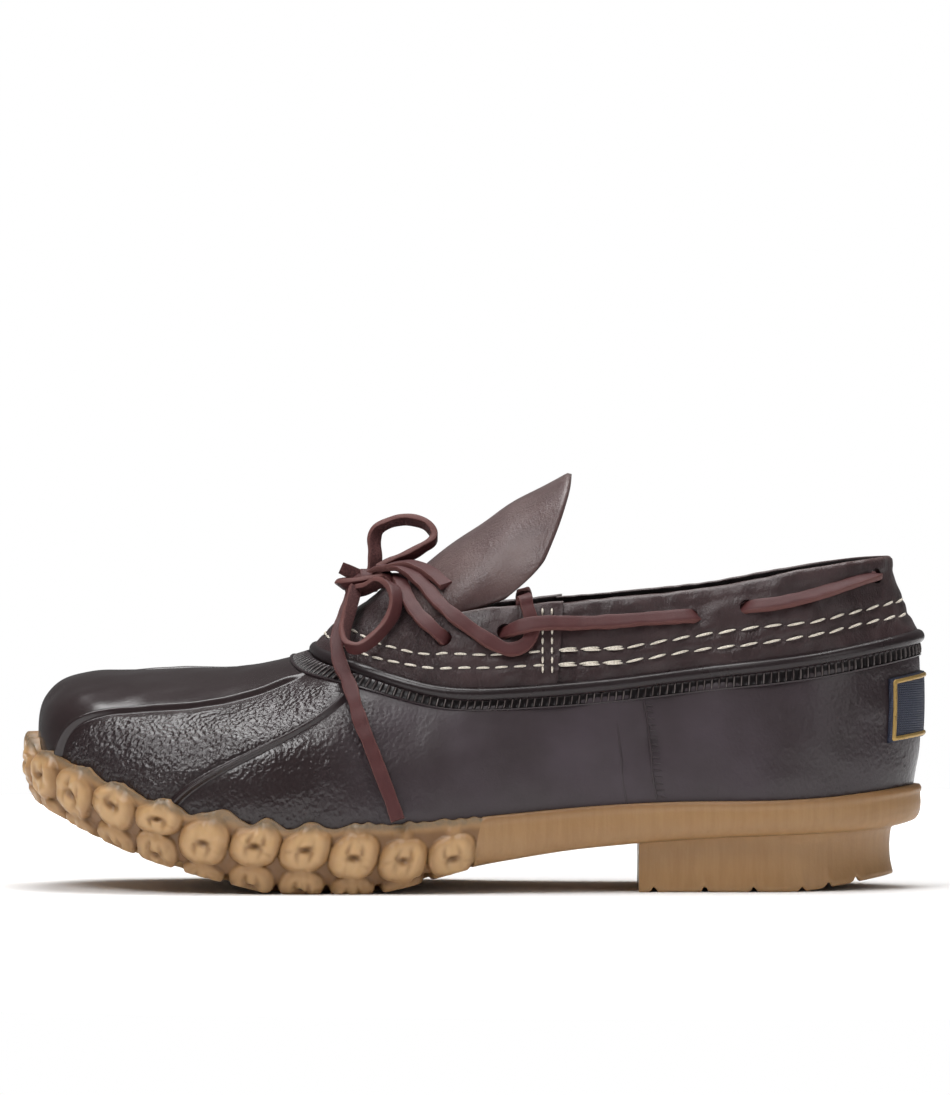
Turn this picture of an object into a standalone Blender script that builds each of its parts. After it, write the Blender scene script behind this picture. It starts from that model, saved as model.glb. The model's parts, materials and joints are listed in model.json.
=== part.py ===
"""A low duck shoe, left foot: moulded rubber shell, gum sole, leather collar, tongue and rawhide lace.

Metres, +Z up. The toe points to -X and the outer side of the foot to -Y. The origin is on the floor
in the middle of the heel's flat bottom. Inside the functions x runs from the tip of the toe to the
heel, and place() moves the points to the origin.
"""

import math

import bmesh
import bpy
import numpy as np

# The last
LENGTH = 0.296
BALL_WIDTH = 0.105
HEEL_WIDTH = 0.074
INSTEP = 0.091
HEEL_HEIGHT = 0.020
TOE_SPRING = 0.029

# The sole and its heel
FORE_SOLE = 0.0085
REAR_SOLE = 0.0045
WRAP_HEIGHT = 0.0135
FOXING = 0.0030
LUG_HEIGHT = 0.0028
LUG_PITCH = 0.0157
HEEL_FRONT = 0.2035
HEEL_MIDDLE = 0.2330
HEEL_BEVEL = 0.0043
HEEL_GROOVE = 0.0022
INSOLE = 0.0030

# The rubber shell
WALL = 0.0026
BEAD = 0.0023
FLANGE = 0.0013
FLANGE_HEIGHT = 0.0085
BAND_HEIGHT = 0.0037
BAND_STEP = 0.0006
RIDGE_HEIGHT = 0.0011
RIDGE_HALF_WIDTH = 0.0017

# The leather
LEATHER = 0.0018
VAMP_LEATHER = 0.0021
PUFF = 0.0012
TONGUE_THICK = 0.0020
TONGUE_TIP = 0.1810
TONGUE_ROOT = 0.1130
EYELET = 0.0055
SLOT = 0.0050

# The heel label
LABEL_WIDTH = 0.047
LABEL_HEIGHT = 0.0216
LABEL_THICK = 0.0018
LABEL_BOTTOM = 0.0498

# The lace
LACE_WIDTH = 0.0046
LACE_THICK = 0.0020
# Height of the line along the shoe that the lace's flat face turns away from
LACE_AXIS = 0.065

# The lace's section: a flat strip with soft edges, as shares of half its width and thickness
LACE_SECTION = (
    (1, 0.45), (0.75, 1), (-0.75, 1), (-1, 0.45),
    (-1, -0.45), (-0.75, -1), (0.75, -1), (1, -0.45),
)

# Clear space between pieces that meet
GAP = 0.0003

# The small step in u or v over which a surface's slope is taken
STEP = 0.002

# The lie of the sole's underside, a row for each place along the length.
# at: share of LENGTH from the toe; toe: share of TOE_SPRING; heel: share of HEEL_HEIGHT
SOLE_LINE = (
    # at, toe, heel
    (0.013, 1.00, 0.00),
    (0.047, 0.82, 0.00),
    (0.090, 0.60, 0.00),
    (0.140, 0.39, 0.00),
    (0.190, 0.23, 0.00),
    (0.240, 0.10, 0.00),
    (0.290, 0.00, 0.00),
    (0.390, 0.00, 0.00),
    (0.430, 0.00, 0.11),
    (0.510, 0.00, 0.44),
    (0.570, 0.00, 0.61),
    (0.630, 0.00, 0.73),
    (0.780, 0.00, 0.90),
    (0.950, 0.00, 1.00),
    (1.000, 0.00, 1.12),
)

# The upper, a row for each of the sixteen meridians that rise from the sole's edge to the collar.
# They go from the toe along the outer side to the heel and back along the inner side.
# x: share of LENGTH; y: share of the local width; rise, reach, drop and bulge: shares of INSTEP
# foot is on the sole's edge, rim is the middle of the shell's bead, top is the edge of the leather.
# out, up: the handle that leaves the foot; reach, drop: the handle that arrives at the rim
# wrap: how far the gum climbs the shell, as a share of WRAP_HEIGHT
UPPER = (
    # foot_x, foot_y, rim_x, rim_y, rim_rise, top_x, top_y, top_rise, out, up, reach, drop, wrap
    (0.026, 0.048, 0.328, 0.019, 0.769, 0.409, 0.010, 0.993, 0.15, 0.60, 0.57, 0.24, 0.78),
    (0.044, -0.190, 0.340, -0.143, 0.745, 0.414, -0.138, 0.966, 0.09, 0.50, 0.52, 0.36, 0.67),
    (0.160, -0.410, 0.384, -0.290, 0.700, 0.443, -0.274, 0.866, 0.11, 0.26, 0.28, 0.28, 0.77),
    (0.305, -0.457, 0.463, -0.391, 0.588, 0.493, -0.334, 0.853, 0.09, 0.28, 0.08, 0.24, 1.00),
    (0.446, -0.456, 0.547, -0.434, 0.541, 0.557, -0.355, 0.846, 0.06, 0.22, 0.05, 0.20, 0.76),
    (0.594, -0.456, 0.655, -0.450, 0.530, 0.659, -0.369, 0.838, 0.05, 0.20, 0.03, 0.18, 0.62),
    (0.740, -0.469, 0.767, -0.452, 0.547, 0.764, -0.373, 0.849, 0.05, 0.20, 0.03, 0.18, 0.55),
    (0.885, -0.446, 0.895, -0.419, 0.585, 0.882, -0.345, 0.902, 0.05, 0.20, 0.03, 0.20, 0.51),
    (0.989, 0.000, 0.999, 0.000, 0.615, 0.968, 0.000, 0.918, 0.05, 0.20, 0.02, 0.20, 0.58),
    (0.885, 0.439, 0.895, 0.415, 0.585, 0.882, 0.345, 0.902, 0.05, 0.20, 0.03, 0.20, 0.51),
    (0.740, 0.443, 0.767, 0.439, 0.547, 0.764, 0.373, 0.849, 0.05, 0.20, 0.03, 0.18, 0.55),
    (0.594, 0.394, 0.655, 0.432, 0.530, 0.659, 0.369, 0.838, 0.07, 0.20, 0.03, 0.18, 0.62),
    (0.446, 0.431, 0.547, 0.424, 0.541, 0.557, 0.355, 0.846, 0.07, 0.22, 0.05, 0.20, 0.76),
    (0.300, 0.476, 0.463, 0.391, 0.588, 0.493, 0.334, 0.853, 0.08, 0.30, 0.08, 0.24, 1.00),
    (0.150, 0.438, 0.384, 0.305, 0.700, 0.443, 0.282, 0.866, 0.11, 0.44, 0.30, 0.22, 0.80),
    (0.040, 0.257, 0.340, 0.170, 0.758, 0.414, 0.145, 0.966, 0.14, 0.61, 0.55, 0.22, 0.74),
)
COLUMNS = (
    "foot_x foot_y rim_x rim_y rim_rise top_x top_y top_rise out up reach drop wrap".split()
)

# Meridians of the moulded ridges: the two edges of the toe panel and the two diagonal ridges
PANEL_RIDGES = (1 / 16, 15 / 16)
DIAGONAL_RIDGES = (2 / 16, 14 / 16)

# The vamp's ends, as meridians
JOINT_OUTER = 4.48 / 16
JOINT_INNER = 1 - JOINT_OUTER

# Where the chain of lugs ends on the outer side, as a meridian; the inner side is its mirror
LUGS_END = 4.62 / 16

# Grooves across the heel's tread, as shares of LENGTH from the toe
HEEL_GROOVES = (0.7037, 0.7598, 0.8142, 0.8686, 0.8980, 0.9294)
GROOVE_DEPTH = 0.0016

# Holes for the lace on both sides: share of LENGTH from the toe, height above the floor, piece
HOLES = (
    # at, height, piece
    (0.4703, 0.0834, "vamp"),
    (0.5389, 0.0854, "vamp"),
    (0.7443, 0.0904, "collar"),
    (0.8071, 0.0934, "collar"),
    (0.9510, 0.1030, "collar"),
)

# The tongue's arch, a row for each place along it.
# at: share of LENGTH; height: of the ridge line; half_width, depth: of the arch
TONGUE = (
    # at, height, half_width, depth
    (0.375, 0.0854, 0.0188, 0.0087),
    (0.410, 0.0945, 0.0226, 0.0146),
    (0.443, 0.1046, 0.0252, 0.0206),
    (0.493, 0.1163, 0.0294, 0.0256),
    (0.532, 0.1235, 0.0300, 0.0285),
    (0.575, 0.1312, 0.0302, 0.0305),
    (0.615, 0.1378, 0.0300, 0.0310),
)

# The lace's runs, placed by hand: x from the toe's tip, y and z, all in millimetres.
MM = 0.001
COLLAR_REAR = (
    (279.8, -21.4, 103.0), (273.7, -25.2, 100.6), (263.8, -30.2, 97.3),
    (253.8, -33.2, 94.9), (246.0, -34.3, 93.4), (241.6, -34.5, 93.2),
)
COLLAR_FRONT = (
    (217.6, -33.4, 90.4), (207.3, -34.3, 90.0), (194.0, -35.8, 88.9), (184.0, -36.8, 88.4),
    (176.0, -38.8, 88.6), (168.5, -40.9, 88.7), (164.2, -40.6, 87.2), (161.6, -39.0, 85.8),
)
HITCH = (
    (121.8, -5.5, 105.5), (126.6, -10.4, 105.1), (132.6, -20.9, 100.5), (137.5, -29.7, 95.0),
    (141.5, -34.6, 91.6), (145.8, -36.7, 88.4), (154.5, -39.5, 82.4), (161.0, -40.3, 79.7),
    (166.4, -39.7, 81.4), (168.6, -38.3, 85.7), (167.9, -36.9, 90.0), (166.8, -35.9, 94.0),
)
CROSSING = (
    (137.4, -36.6, 85.3), (134.8, -35.0, 87.4), (131.5, -31.8, 90.4), (128.5, -26.6, 94.2),
    (126.4, -19.2, 98.2), (125.0, -10.0, 101.4), (124.3, 0.0, 102.6),
)
LOOP_UPPER = (
    (116.2, 1.2, 105.1), (116.4, 2.6, 110.0), (115.9, 5.0, 115.0), (117.9, 6.0, 118.4),
    (122.9, 6.5, 120.4), (128.2, 6.0, 120.9), (133.2, 5.0, 119.6), (136.2, 3.5, 116.6),
    (136.2, 2.0, 114.0), (133.6, 0.5, 111.3), (127.0, -0.5, 108.9), (121.0, -1.2, 107.9),
)
LOOP_NEAR = (
    (113.5, -12.9, 99.8), (118.5, -16.5, 101.2), (122.6, -22.6, 99.4), (123.4, -27.3, 95.5),
    (122.4, -29.3, 90.5), (119.2, -31.0, 86.0), (115.0, -32.6, 82.5), (111.8, -33.4, 80.2),
    (108.6, -32.4, 80.2), (107.0, -29.0, 83.0), (108.0, -23.0, 88.0), (109.3, -17.5, 93.0),
    (109.8, -13.2, 96.5),
)
END_LONG = (
    (106.2, -9.0, 96.6), (106.0, -13.0, 92.4), (104.6, -17.5, 87.7), (104.2, -23.0, 82.4),
    (105.3, -29.0, 76.1), (107.8, -36.6, 69.8), (110.0, -42.2, 63.5), (112.5, -46.4, 55.5),
    (115.3, -49.0, 48.8), (119.3, -51.6, 38.5), (122.6, -53.2, 29.9), (124.4, -54.6, 24.6),
)
END_SHORT = (
    (116.5, -6.6, 107.4), (121.0, -7.2, 109.2), (126.0, -8.4, 109.3), (131.0, -12.4, 107.6),
    (136.0, -19.8, 105.2), (140.2, -27.0, 102.4),
)
KNOT_MIDDLE = (112.2, -3.0, 101.5)
KNOT_SIZE = (18.0, 15.0, 8.4)

SKIN_COLOURS = {
    "rubber": ((0.045, 0.030, 0.030), 0.35),
    "gum": ((0.43, 0.26, 0.12), 0.5),
    "leather": ((0.050, 0.016, 0.018), 0.4),
    "tongue": ((0.080, 0.034, 0.034), 0.45),
    "rawhide": ((0.110, 0.035, 0.033), 0.6),
    "lining": ((0.012, 0.010, 0.010), 0.8),
    "label": ((0.008, 0.010, 0.025), 0.5),
}


# Curves


def smooth(value, low, high):
    """0 below low, 1 above high, with a soft step between."""
    t = np.clip((np.asarray(value, float) - low) / (high - low), 0, 1)
    return t * t * (3 - 2 * t)


def through(at, values, where):
    """A curve through values at the places at, which never overshoots them."""
    at, values, where = (np.asarray(a, float) for a in (at, values, where))
    step = np.diff(at)
    slope = np.diff(values) / step
    both = slope[:-1] * slope[1:]
    inner = np.where(both > 0, 2 * both / np.where(both > 0, slope[:-1] + slope[1:], 1), 0)
    tangent = np.concatenate([slope[:1], inner, slope[-1:]])
    where = np.clip(where, at[0], at[-1])
    i = np.clip(np.searchsorted(at, where) - 1, 0, len(step) - 1)
    t = (where - at[i]) / step[i]
    rise = values[i + 1] - values[i]
    start, end = tangent[i] * step[i], tangent[i + 1] * step[i]
    return values[i] + t * (start + t * (3 * rise - 2 * start - end + t * (start + end - 2 * rise)))


def round_the_loop(rows, u):
    """A closed curve with smooth curvature through the rows, at the shares u of the loop."""
    rows = np.asarray(rows, float)
    count = len(rows)
    eye = np.eye(count)
    beside = np.roll(eye, 1, axis=0) + np.roll(eye, -1, axis=0)
    bend = np.linalg.solve(4 * eye + beside, 6 * (beside - 2 * eye) @ rows)
    along = (np.asarray(u, float) % 1) * count
    i = np.minimum(along.astype(int), count - 1)
    j = (i + 1) % count
    b = (along - i)[..., None]
    a = 1 - b
    return a * rows[i] + b * rows[j] + ((a**3 - a) * bend[i] + (b**3 - b) * bend[j]) / 6


def along_route(points, spacing):
    """A smooth curve through a list of points, with its points about spacing apart."""
    points = np.asarray(points, float)
    ends = np.concatenate([[2 * points[0] - points[1]], points, [2 * points[-1] - points[-2]]])
    fine = []
    for before, start, end, after in zip(ends, ends[1:], ends[2:], ends[3:]):
        for t in np.linspace(0, 1, 12, endpoint=False):
            fine.append(
                start
                + t * (end - before) / 2
                + t**2 * (before - 2.5 * start + 2 * end - after / 2)
                + t**3 * (1.5 * (start - end) + (after - before) / 2)
            )
    fine = np.array(fine + [points[-1]])
    length = np.concatenate([[0], np.cumsum(np.linalg.norm(np.diff(fine, axis=0), axis=1))])
    stops = np.linspace(0, length[-1], max(3, round(length[-1] / spacing) + 1))
    return np.stack([np.interp(stops, length, fine[:, k]) for k in range(3)], axis=1)


def unit(vectors):
    return vectors / np.maximum(np.linalg.norm(vectors, axis=-1, keepdims=True), 1e-12)


# The shape of the last


def sole_bottom(x):
    """Height of the sole's underside above the floor."""
    at, toe, heel = np.array(SOLE_LINE).T
    return through(at, toe * TOE_SPRING + heel * HEEL_HEIGHT, np.asarray(x) / LENGTH)


def plate_top(x):
    """Height of the face that the upper and the insole stand on."""
    thickness = FORE_SOLE + (REAR_SOLE - FORE_SOLE) * smooth(np.asarray(x) / LENGTH, 0.40, 0.60)
    return sole_bottom(x) + thickness


def local_width(x):
    """The width that the shares of the upper's table are of: the ball's, then the heel's."""
    return BALL_WIDTH + (HEEL_WIDTH - BALL_WIDTH) * smooth(np.asarray(x) / LENGTH, 0.35, 0.85)


def column(name):
    return np.array(UPPER)[:, COLUMNS.index(name)]


def station_points(which):
    """The sixteen points of the foot line, the rim or the top edge."""
    x = column(which + "_x") * LENGTH
    y = column(which + "_y") * local_width(x)
    if which == "foot":
        z = plate_top(x) + GAP
    else:
        z = plate_top(x) + column(which + "_rise") * INSTEP
    return np.stack([x, y, z], axis=1)


def line(which, u):
    return round_the_loop(station_points(which), u)


def outward(which, u):
    """The level direction that points away from the shoe, square to a line of the upper."""
    along = line(which, np.asarray(u) + STEP) - line(which, np.asarray(u) - STEP)
    side = np.stack([along[..., 1], -along[..., 0], 0 * along[..., 2]], axis=-1)
    return unit(side)


def handle(name, u):
    return round_the_loop(column(name)[:, None] * INSTEP, u)


def shell_at(u, v):
    """The outer face of the rubber shell: v is 0 at the sole's edge and 1 at the rim."""
    u, v = np.broadcast_arrays(np.asarray(u, float), np.asarray(v, float))
    up = np.array([0.0, 0.0, 1.0])
    foot, rim = line("foot", u), line("rim", u)
    first = foot + outward("foot", u) * handle("out", u) + up * handle("up", u)
    last = rim + outward("rim", u) * handle("reach", u) - up * handle("drop", u)
    v = v[..., None]
    w = 1 - v
    return w**3 * foot + 3 * w**2 * v * first + 3 * w * v**2 * last + v**3 * rim


def leather_at(u, t):
    """The outer face of the vamp and the collar: t is 0 above the bead and 1 at the top edge."""
    u, t = np.broadcast_arrays(np.asarray(u, float), np.asarray(t, float))
    base = line("rim", u) - outward("rim", u) * 0.2 * BEAD + np.array([0, 0, BEAD + 2.2 * GAP])
    top = line("top", u)
    t = t[..., None]
    # The sides are full and the back of the heel is hollow.
    puff = PUFF * (1 - 2 * smooth(base[..., :1] / LENGTH, 0.86, 0.97))
    return base + (top - base) * t + outward("rim", u) * puff * 4 * t * (1 - t)


def normal_of(surface, u, v):
    """The outward normal of a surface, from its slopes both ways."""
    across = surface(u + STEP, v) - surface(u - STEP, v)
    upward = surface(u, np.minimum(v + STEP, 1)) - surface(u, np.maximum(v - STEP, 0))
    return unit(np.cross(across, upward))


def lifted(surface, u, v, lift):
    """A surface moved along its own normal; a negative lift is towards the foot."""
    u, v = np.broadcast_arrays(np.asarray(u, float), np.asarray(v, float))
    return surface(u, v) + normal_of(surface, u, v) * np.asarray(lift)[..., None]


def meridian_length(surface, u):
    points = surface(np.asarray(u)[None, :], np.linspace(0, 1, 17)[:, None])
    return np.linalg.norm(np.diff(points, axis=0), axis=2).sum(axis=0)


def place_on(surface, x, z, side):
    """The (u, v) where the outer (side -1) or inner (side 1) face passes the point x, z of the side view."""
    low, high = (0.03, 0.5) if side < 0 else (0.5, 0.97)
    centre, half = np.array([(low + high) / 2, 0.5]), np.array([(high - low) / 2, 0.5])
    for _ in range(9):
        u = np.clip(centre[0] + half[0] * np.linspace(-1, 1, 21), low, high)
        v = np.clip(centre[1] + half[1] * np.linspace(-1, 1, 21), 0, 1)
        points = surface(u[:, None], v[None, :])
        far = np.hypot(points[..., 0] - x, points[..., 2] - z)
        i, j = np.unravel_index(far.argmin(), far.shape)
        centre, half = np.array([u[i], v[j]]), half * 0.35
    return centre


# Meshes


def place(points):
    """Points in metres from the toe's tip, moved so that the origin is in the middle of the heel."""
    return np.asarray(points, float) - np.array([HEEL_MIDDLE, 0, 0])


def material(name, colour, roughness):
    skin = bpy.data.materials.new(name)
    skin.use_nodes = True
    shader = skin.node_tree.nodes["Principled BSDF"]
    shader.inputs["Base Color"].default_value = (*colour, 1)
    shader.inputs["Roughness"].default_value = roughness
    shader.inputs["Metallic"].default_value = 0
    return skin


def add_solid(name, points, faces, finish):
    """An object of its own from points and faces, with its faces turned outward."""
    mesh = bpy.data.meshes.new(name)
    mesh.from_pydata(place(points).tolist(), [], faces)
    work = bmesh.new()
    work.from_mesh(mesh)
    bmesh.ops.recalc_face_normals(work, faces=work.faces)
    if work.calc_volume(signed=True) < 0:
        bmesh.ops.reverse_faces(work, faces=work.faces)
    work.to_mesh(mesh)
    work.free()
    mesh.shade_smooth()
    mesh.set_sharp_from_angle(angle=math.radians(35))
    mesh.materials.append(material(name, *SKIN_COLOURS[finish]))
    solid = bpy.data.objects.new(name, mesh)
    PARTS.objects.link(solid)
    return solid


def grid_faces(rings, columns, ring_closed, column_closed):
    """The quads of a grid whose points are numbered ring by ring."""
    faces = []
    for i in range(rings if ring_closed else rings - 1):
        for j in range(columns if column_closed else columns - 1):
            k, m = (i + 1) % rings, (j + 1) % columns
            faces.append((i * columns + j, i * columns + m, k * columns + m, k * columns + j))
    return faces


def add_ring_solid(name, grid, finish):
    """A solid like a bent ring: the section closes on itself, and so does the loop round the foot."""
    rings, columns = grid.shape[:2]
    return add_solid(name, grid.reshape(-1, 3), grid_faces(rings, columns, True, True), finish)


def add_strip_solid(name, grid, finish):
    """A solid like a bent bar: the section closes on itself, and the two ends are capped."""
    rings, columns = grid.shape[:2]
    faces = grid_faces(rings, columns, True, False)
    faces.append(tuple(i * columns for i in range(rings)))
    faces.append(tuple(i * columns + columns - 1 for i in reversed(range(rings))))
    return add_solid(name, grid.reshape(-1, 3), faces, finish)


def add_plate_solid(name, grid, finish):
    """A solid like a dish: rings round the foot, closed at each end by rungs from side to side.

    The columns are even in number and lie alike on both sides of the toe's middle.
    """
    rings, columns = grid.shape[:2]
    faces = grid_faces(rings, columns, False, True)
    for start in (0, (rings - 1) * columns):
        for j in range(columns // 2):
            k, m = columns - 1 - j, columns - 1 - (j + 1)
            if j + 1 < m:
                faces.append((start + j, start + j + 1, start + m, start + k))
    return add_solid(name, grid.reshape(-1, 3), faces, finish)


def even_columns(count):
    """Shares of the loop that lie alike on both sides of the toe's and the heel's middle."""
    return (np.arange(count) + 0.5) / count


def both_sides(half):
    """Shares of the outer half of the loop, and the same mirrored to the inner half."""
    half = np.asarray(half, float)
    return np.concatenate([half, 1 - half[::-1]])


# The rubber shell


def ridge_relief(u, v):
    """How far the moulded ridges stand up from the shell: they fade out under the plain band."""
    width = np.linalg.norm(shell_at(u + STEP, v) - shell_at(u - STEP, v), axis=-1) / (2 * STEP)
    relief = 0
    for middle in PANEL_RIDGES + DIAGONAL_RIDGES:
        away = np.abs(u - middle) * width / RIDGE_HALF_WIDTH
        relief = relief + np.clip(1 - away, 0, 1)
    return relief * RIDGE_HEIGHT * (1 - smooth(v, 0.86, 0.93))


def shell_columns():
    """Columns a few millimetres apart, with three more on each ridge."""
    plain = np.concatenate([np.linspace(0.008, 0.47, 30), [0.487]])
    ridges = np.array([m + d for m in (1 / 16, 2 / 16) for d in (-0.0035, 0, 0.0035)])
    clear = [u for u in plain if np.abs(u - ridges).min() > 0.005]
    return both_sides(np.sort(np.concatenate([clear, ridges])))


def wrap_share(u):
    """The v at which the gum's upper edge lies on the shell."""
    height = round_the_loop(column("wrap")[:, None] * WRAP_HEIGHT, u)[..., 0]
    return height / meridian_length(shell_at, u)


def make_shell():
    u = shell_columns()
    length = meridian_length(shell_at, u)
    wrap = wrap_share(u)
    under_bead = 1 - BEAD / length
    band_low = under_bead - BAND_HEIGHT / length
    step = 0.0004 / length
    rim, out = line("rim", u), outward("rim", u)
    up = np.array([0.0, 0.0, 1.0])

    outside = []
    for v in (0 * wrap, 0.5 * wrap, wrap):
        outside.append(shell_at(u, v))
    for share in (0.16, 0.33, 0.5, 0.67, 0.83):
        v = wrap + (band_low - step - wrap) * share
        outside.append(lifted(shell_at, u, v, ridge_relief(u, v)))
    outside.append(shell_at(u, band_low - step))
    outside.append(lifted(shell_at, u, band_low, np.full(len(u), BAND_STEP)))
    outside.append(lifted(shell_at, u, under_bead, np.full(len(u), BAND_STEP)))
    for degrees in (-40, 20, 85):
        turn = math.radians(degrees)
        outside.append(rim + BEAD * (math.cos(turn) * out + math.sin(turn) * up))

    flange_share = np.minimum(FLANGE_HEIGHT / meridian_length(leather_at, u), 0.6)
    behind = VAMP_LEATHER + 1.5 * GAP
    inside = [lifted(leather_at, u, 0 * u, np.full(len(u), -behind)) - up * 0.0006]
    inside.append(lifted(leather_at, u, flange_share, np.full(len(u), -behind)))
    inside.append(lifted(leather_at, u, flange_share, np.full(len(u), -behind - FLANGE)))
    inside.append(lifted(leather_at, u, 0 * u, np.full(len(u), -behind - FLANGE)))
    for v in (0.82, 0.6, 0.38, 0.18, 0.0):
        inside.append(lifted(shell_at, u, np.full(len(u), v), np.full(len(u), -WALL)))
    inside[-1][:, 2] = outside[0][:, 2]
    add_ring_solid("rubber_shell", np.array(outside + inside), "rubber")


# The gum sole


def lug_columns():
    """Four columns for each lug of the chain, then wider ones along the waist and round the heel."""
    fine = np.linspace(0, LUGS_END, 400)
    path = gum_profile(fine, np.array([0.4]))[0]
    length = np.concatenate([[0], np.cumsum(np.linalg.norm(np.diff(path, axis=0), axis=1))])
    steps = 4 * round(length[-1] / LUG_PITCH)
    stops = (np.arange(steps) + 0.5) / steps * length[-1]
    rear = np.concatenate([np.linspace(LUGS_END, 0.42, 9), np.linspace(0.42, 0.492, 9)[1:]])
    return both_sides(np.concatenate([np.interp(stops, length, fine), rear]))


def gum_profile(u, share):
    """The gum's outer face without lugs: share is 0 at its upper edge and 1 underneath."""
    u = np.asarray(u, float)
    wrap = wrap_share(u)
    foot, out = line("foot", u), outward("foot", u)
    fore = 1 - smooth(foot[:, 0] / LENGTH, 0.48, 0.56)[:, None]
    low = sole_bottom(foot[:, 0])[:, None] * np.array([0, 0, 1.0])
    flat = foot * np.array([1, 1, 0])
    top = lifted(shell_at, u, wrap, np.full(len(u), 0.6 * FOXING))
    bulge = 1.45 * FOXING
    shoulder = flat + out * bulge + (0.35 * top + 0.65 * foot) * np.array([0, 0, 1.0])
    corner = flat + out * (bulge + 0.0008) + low
    inset = 0.008 * fore + 0.0005 * (1 - fore)
    bottom = flat - out * inset + low
    t = np.asarray(share, float)[:, None, None]
    w = 1 - t
    points = w**3 * top + 3 * w**2 * t * shoulder + 3 * w * t**2 * corner + t**3 * bottom
    # The underside follows the sole's own line, also where the profile turns in under it.
    points[..., 2] = np.maximum(points[..., 2], sole_bottom(points[..., 0]))
    return points


def lug_relief(u, share, columns):
    """The chain of lugs: an upper row of round knobs and a lower row half a pitch on."""
    path = gum_profile(np.linspace(0, LUGS_END, 400), np.array([0.4]))[0]
    length = np.concatenate([[0], np.cumsum(np.linalg.norm(np.diff(path, axis=0), axis=1))])
    count = round(length[-1] / LUG_PITCH)
    half = np.minimum(columns, 1 - columns)
    along = np.interp(half, np.linspace(0, LUGS_END, 400), length) / length[-1] * count
    on = half < LUGS_END
    away = along - np.floor(along) - 0.5
    upper = np.clip(1 - (away / 0.5) ** 2 - ((share - 0.3) / 0.26) ** 2, 0, 1)
    between = np.abs(away) - 0.5
    lower = np.clip(1 - (between / 0.5) ** 2 - ((share - 0.72) / 0.24) ** 2, 0, 1)
    return LUG_HEIGHT * on * np.sqrt(np.maximum(upper, 0.8 * lower))


def make_outsole():
    u = lug_columns()
    wrap = wrap_share(u)
    foot, out = line("foot", u), outward("foot", u)
    level = np.array([0, 0, GAP])
    rings = [foot - out * 0.012 - level, foot + out * GAP - level]
    rings[0][:, 2] = plate_top(rings[0][:, 0])
    for v in (0.5 * wrap, wrap):
        rings.append(lifted(shell_at, u, v, np.full(len(u), 1.2 * GAP)))
    shares = np.array([0.0, 0.18, 0.34, 0.5, 0.68, 0.86, 1.0])
    skin = gum_profile(u, shares)
    across = unit(np.gradient(skin, axis=0))
    tangent = unit(np.roll(skin, -1, axis=1) - np.roll(skin, 1, axis=1))
    normal = unit(np.cross(across, tangent))
    normal *= np.sign((normal[2] * out).sum(axis=-1))[None, :, None]
    for i, share in enumerate(shares):
        lug = lug_relief(u, share, u)
        ring = skin[i] + normal[i] * lug[:, None]
        ring[:, 2] = np.maximum(ring[:, 2], sole_bottom(ring[:, 0]) * 0.98)
        rings.append(ring)
    last = foot - out * 0.016
    last[:, 2] = sole_bottom(last[:, 0])
    rings.append(last)
    add_plate_solid("outsole", np.array(rings), "gum")


def make_insole():
    u = even_columns(44)
    foot, out = line("foot", u), outward("foot", u)
    edge = foot - out * (WALL + 1.5 * GAP)
    rings = []
    for height, inset in ((0.0, 0.003), (0.0006, 0.0), (INSOLE - 0.0006, 0.0), (INSOLE, 0.001)):
        ring = edge - out * inset
        ring[:, 2] = plate_top(ring[:, 0]) + 1.8 * GAP + height
        rings.append(ring)
    add_plate_solid("insole", np.array(rings), "lining")


def make_heel():
    """The heel: straight across its front, round at the back, with grooves across its tread."""
    fine = np.linspace(0.3, 0.5, 400)
    front = np.interp(HEEL_FRONT, line("foot", fine)[:, 0], fine)
    u = both_sides(np.concatenate([np.linspace(front, 0.44, 7), np.linspace(0.44, 0.4925, 7)[1:]]))
    foot, out = line("foot", u), outward("foot", u)
    back = smooth(foot[:, 0], HEEL_FRONT + 0.05, LENGTH)[:, None]
    edge = foot - out * (0.0012 + 0.0040 * back)
    lift = HEEL_BEVEL * np.clip((edge[:, 0] - 0.87 * LENGTH) / (0.1 * LENGTH), 0, 1)
    rings = []
    for share, inset in ((1.0, 0.0), (0.62, 0.0011), (0.25, 0.0008), (0.0, 0.0)):
        ring = edge - out * inset
        ring[:, 2] = lift + (sole_bottom(ring[:, 0]) - GAP - lift) * share
        rings.append(ring)
    heel = add_plate_solid("heel_block", np.array(rings), "gum")
    outer = len(u) // 2
    for share in HEEL_GROOVES:
        x = share * LENGTH
        height = 2 * (GROOVE_DEPTH + np.interp(x, edge[:outer, 0], lift[:outer]))
        cut_box(heel, place((x, 0, 0)), (HEEL_GROOVE, 2 * HEEL_WIDTH, height))


def cut_box(solid, centre, size):
    """Takes a box of that size, with its middle at centre, away from the solid."""
    bpy.ops.mesh.primitive_cube_add(size=1, location=centre, scale=size)
    use_cutter(solid, bpy.context.object, "groove")


def use_cutter(solid, tool, label):
    """Takes a helper solid away from another; the helper goes to the cutters' collection."""
    for owner in list(tool.users_collection):
        owner.objects.unlink(tool)
    CUTTERS.objects.link(tool)
    tool.name = f"cutter_{solid.name}_{label}_{len(CUTTERS.objects)}"
    tool.hide_render = True
    tool.display_type = "WIRE"
    cut = solid.modifiers.new(tool.name, "BOOLEAN")
    cut.operation = "DIFFERENCE"
    cut.object = tool


# The leather


def leather_section(u, thickness, rows):
    """The section of a leather piece round its edges: up its outer face and down its inner one."""
    section = [lifted(leather_at, u, np.full(len(u), t), 0 * u) for t in rows]
    section += [
        lifted(leather_at, u, np.full(len(u), t), np.full(len(u), -thickness)) for t in rows[::-1]
    ]
    return np.array(section)


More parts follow.
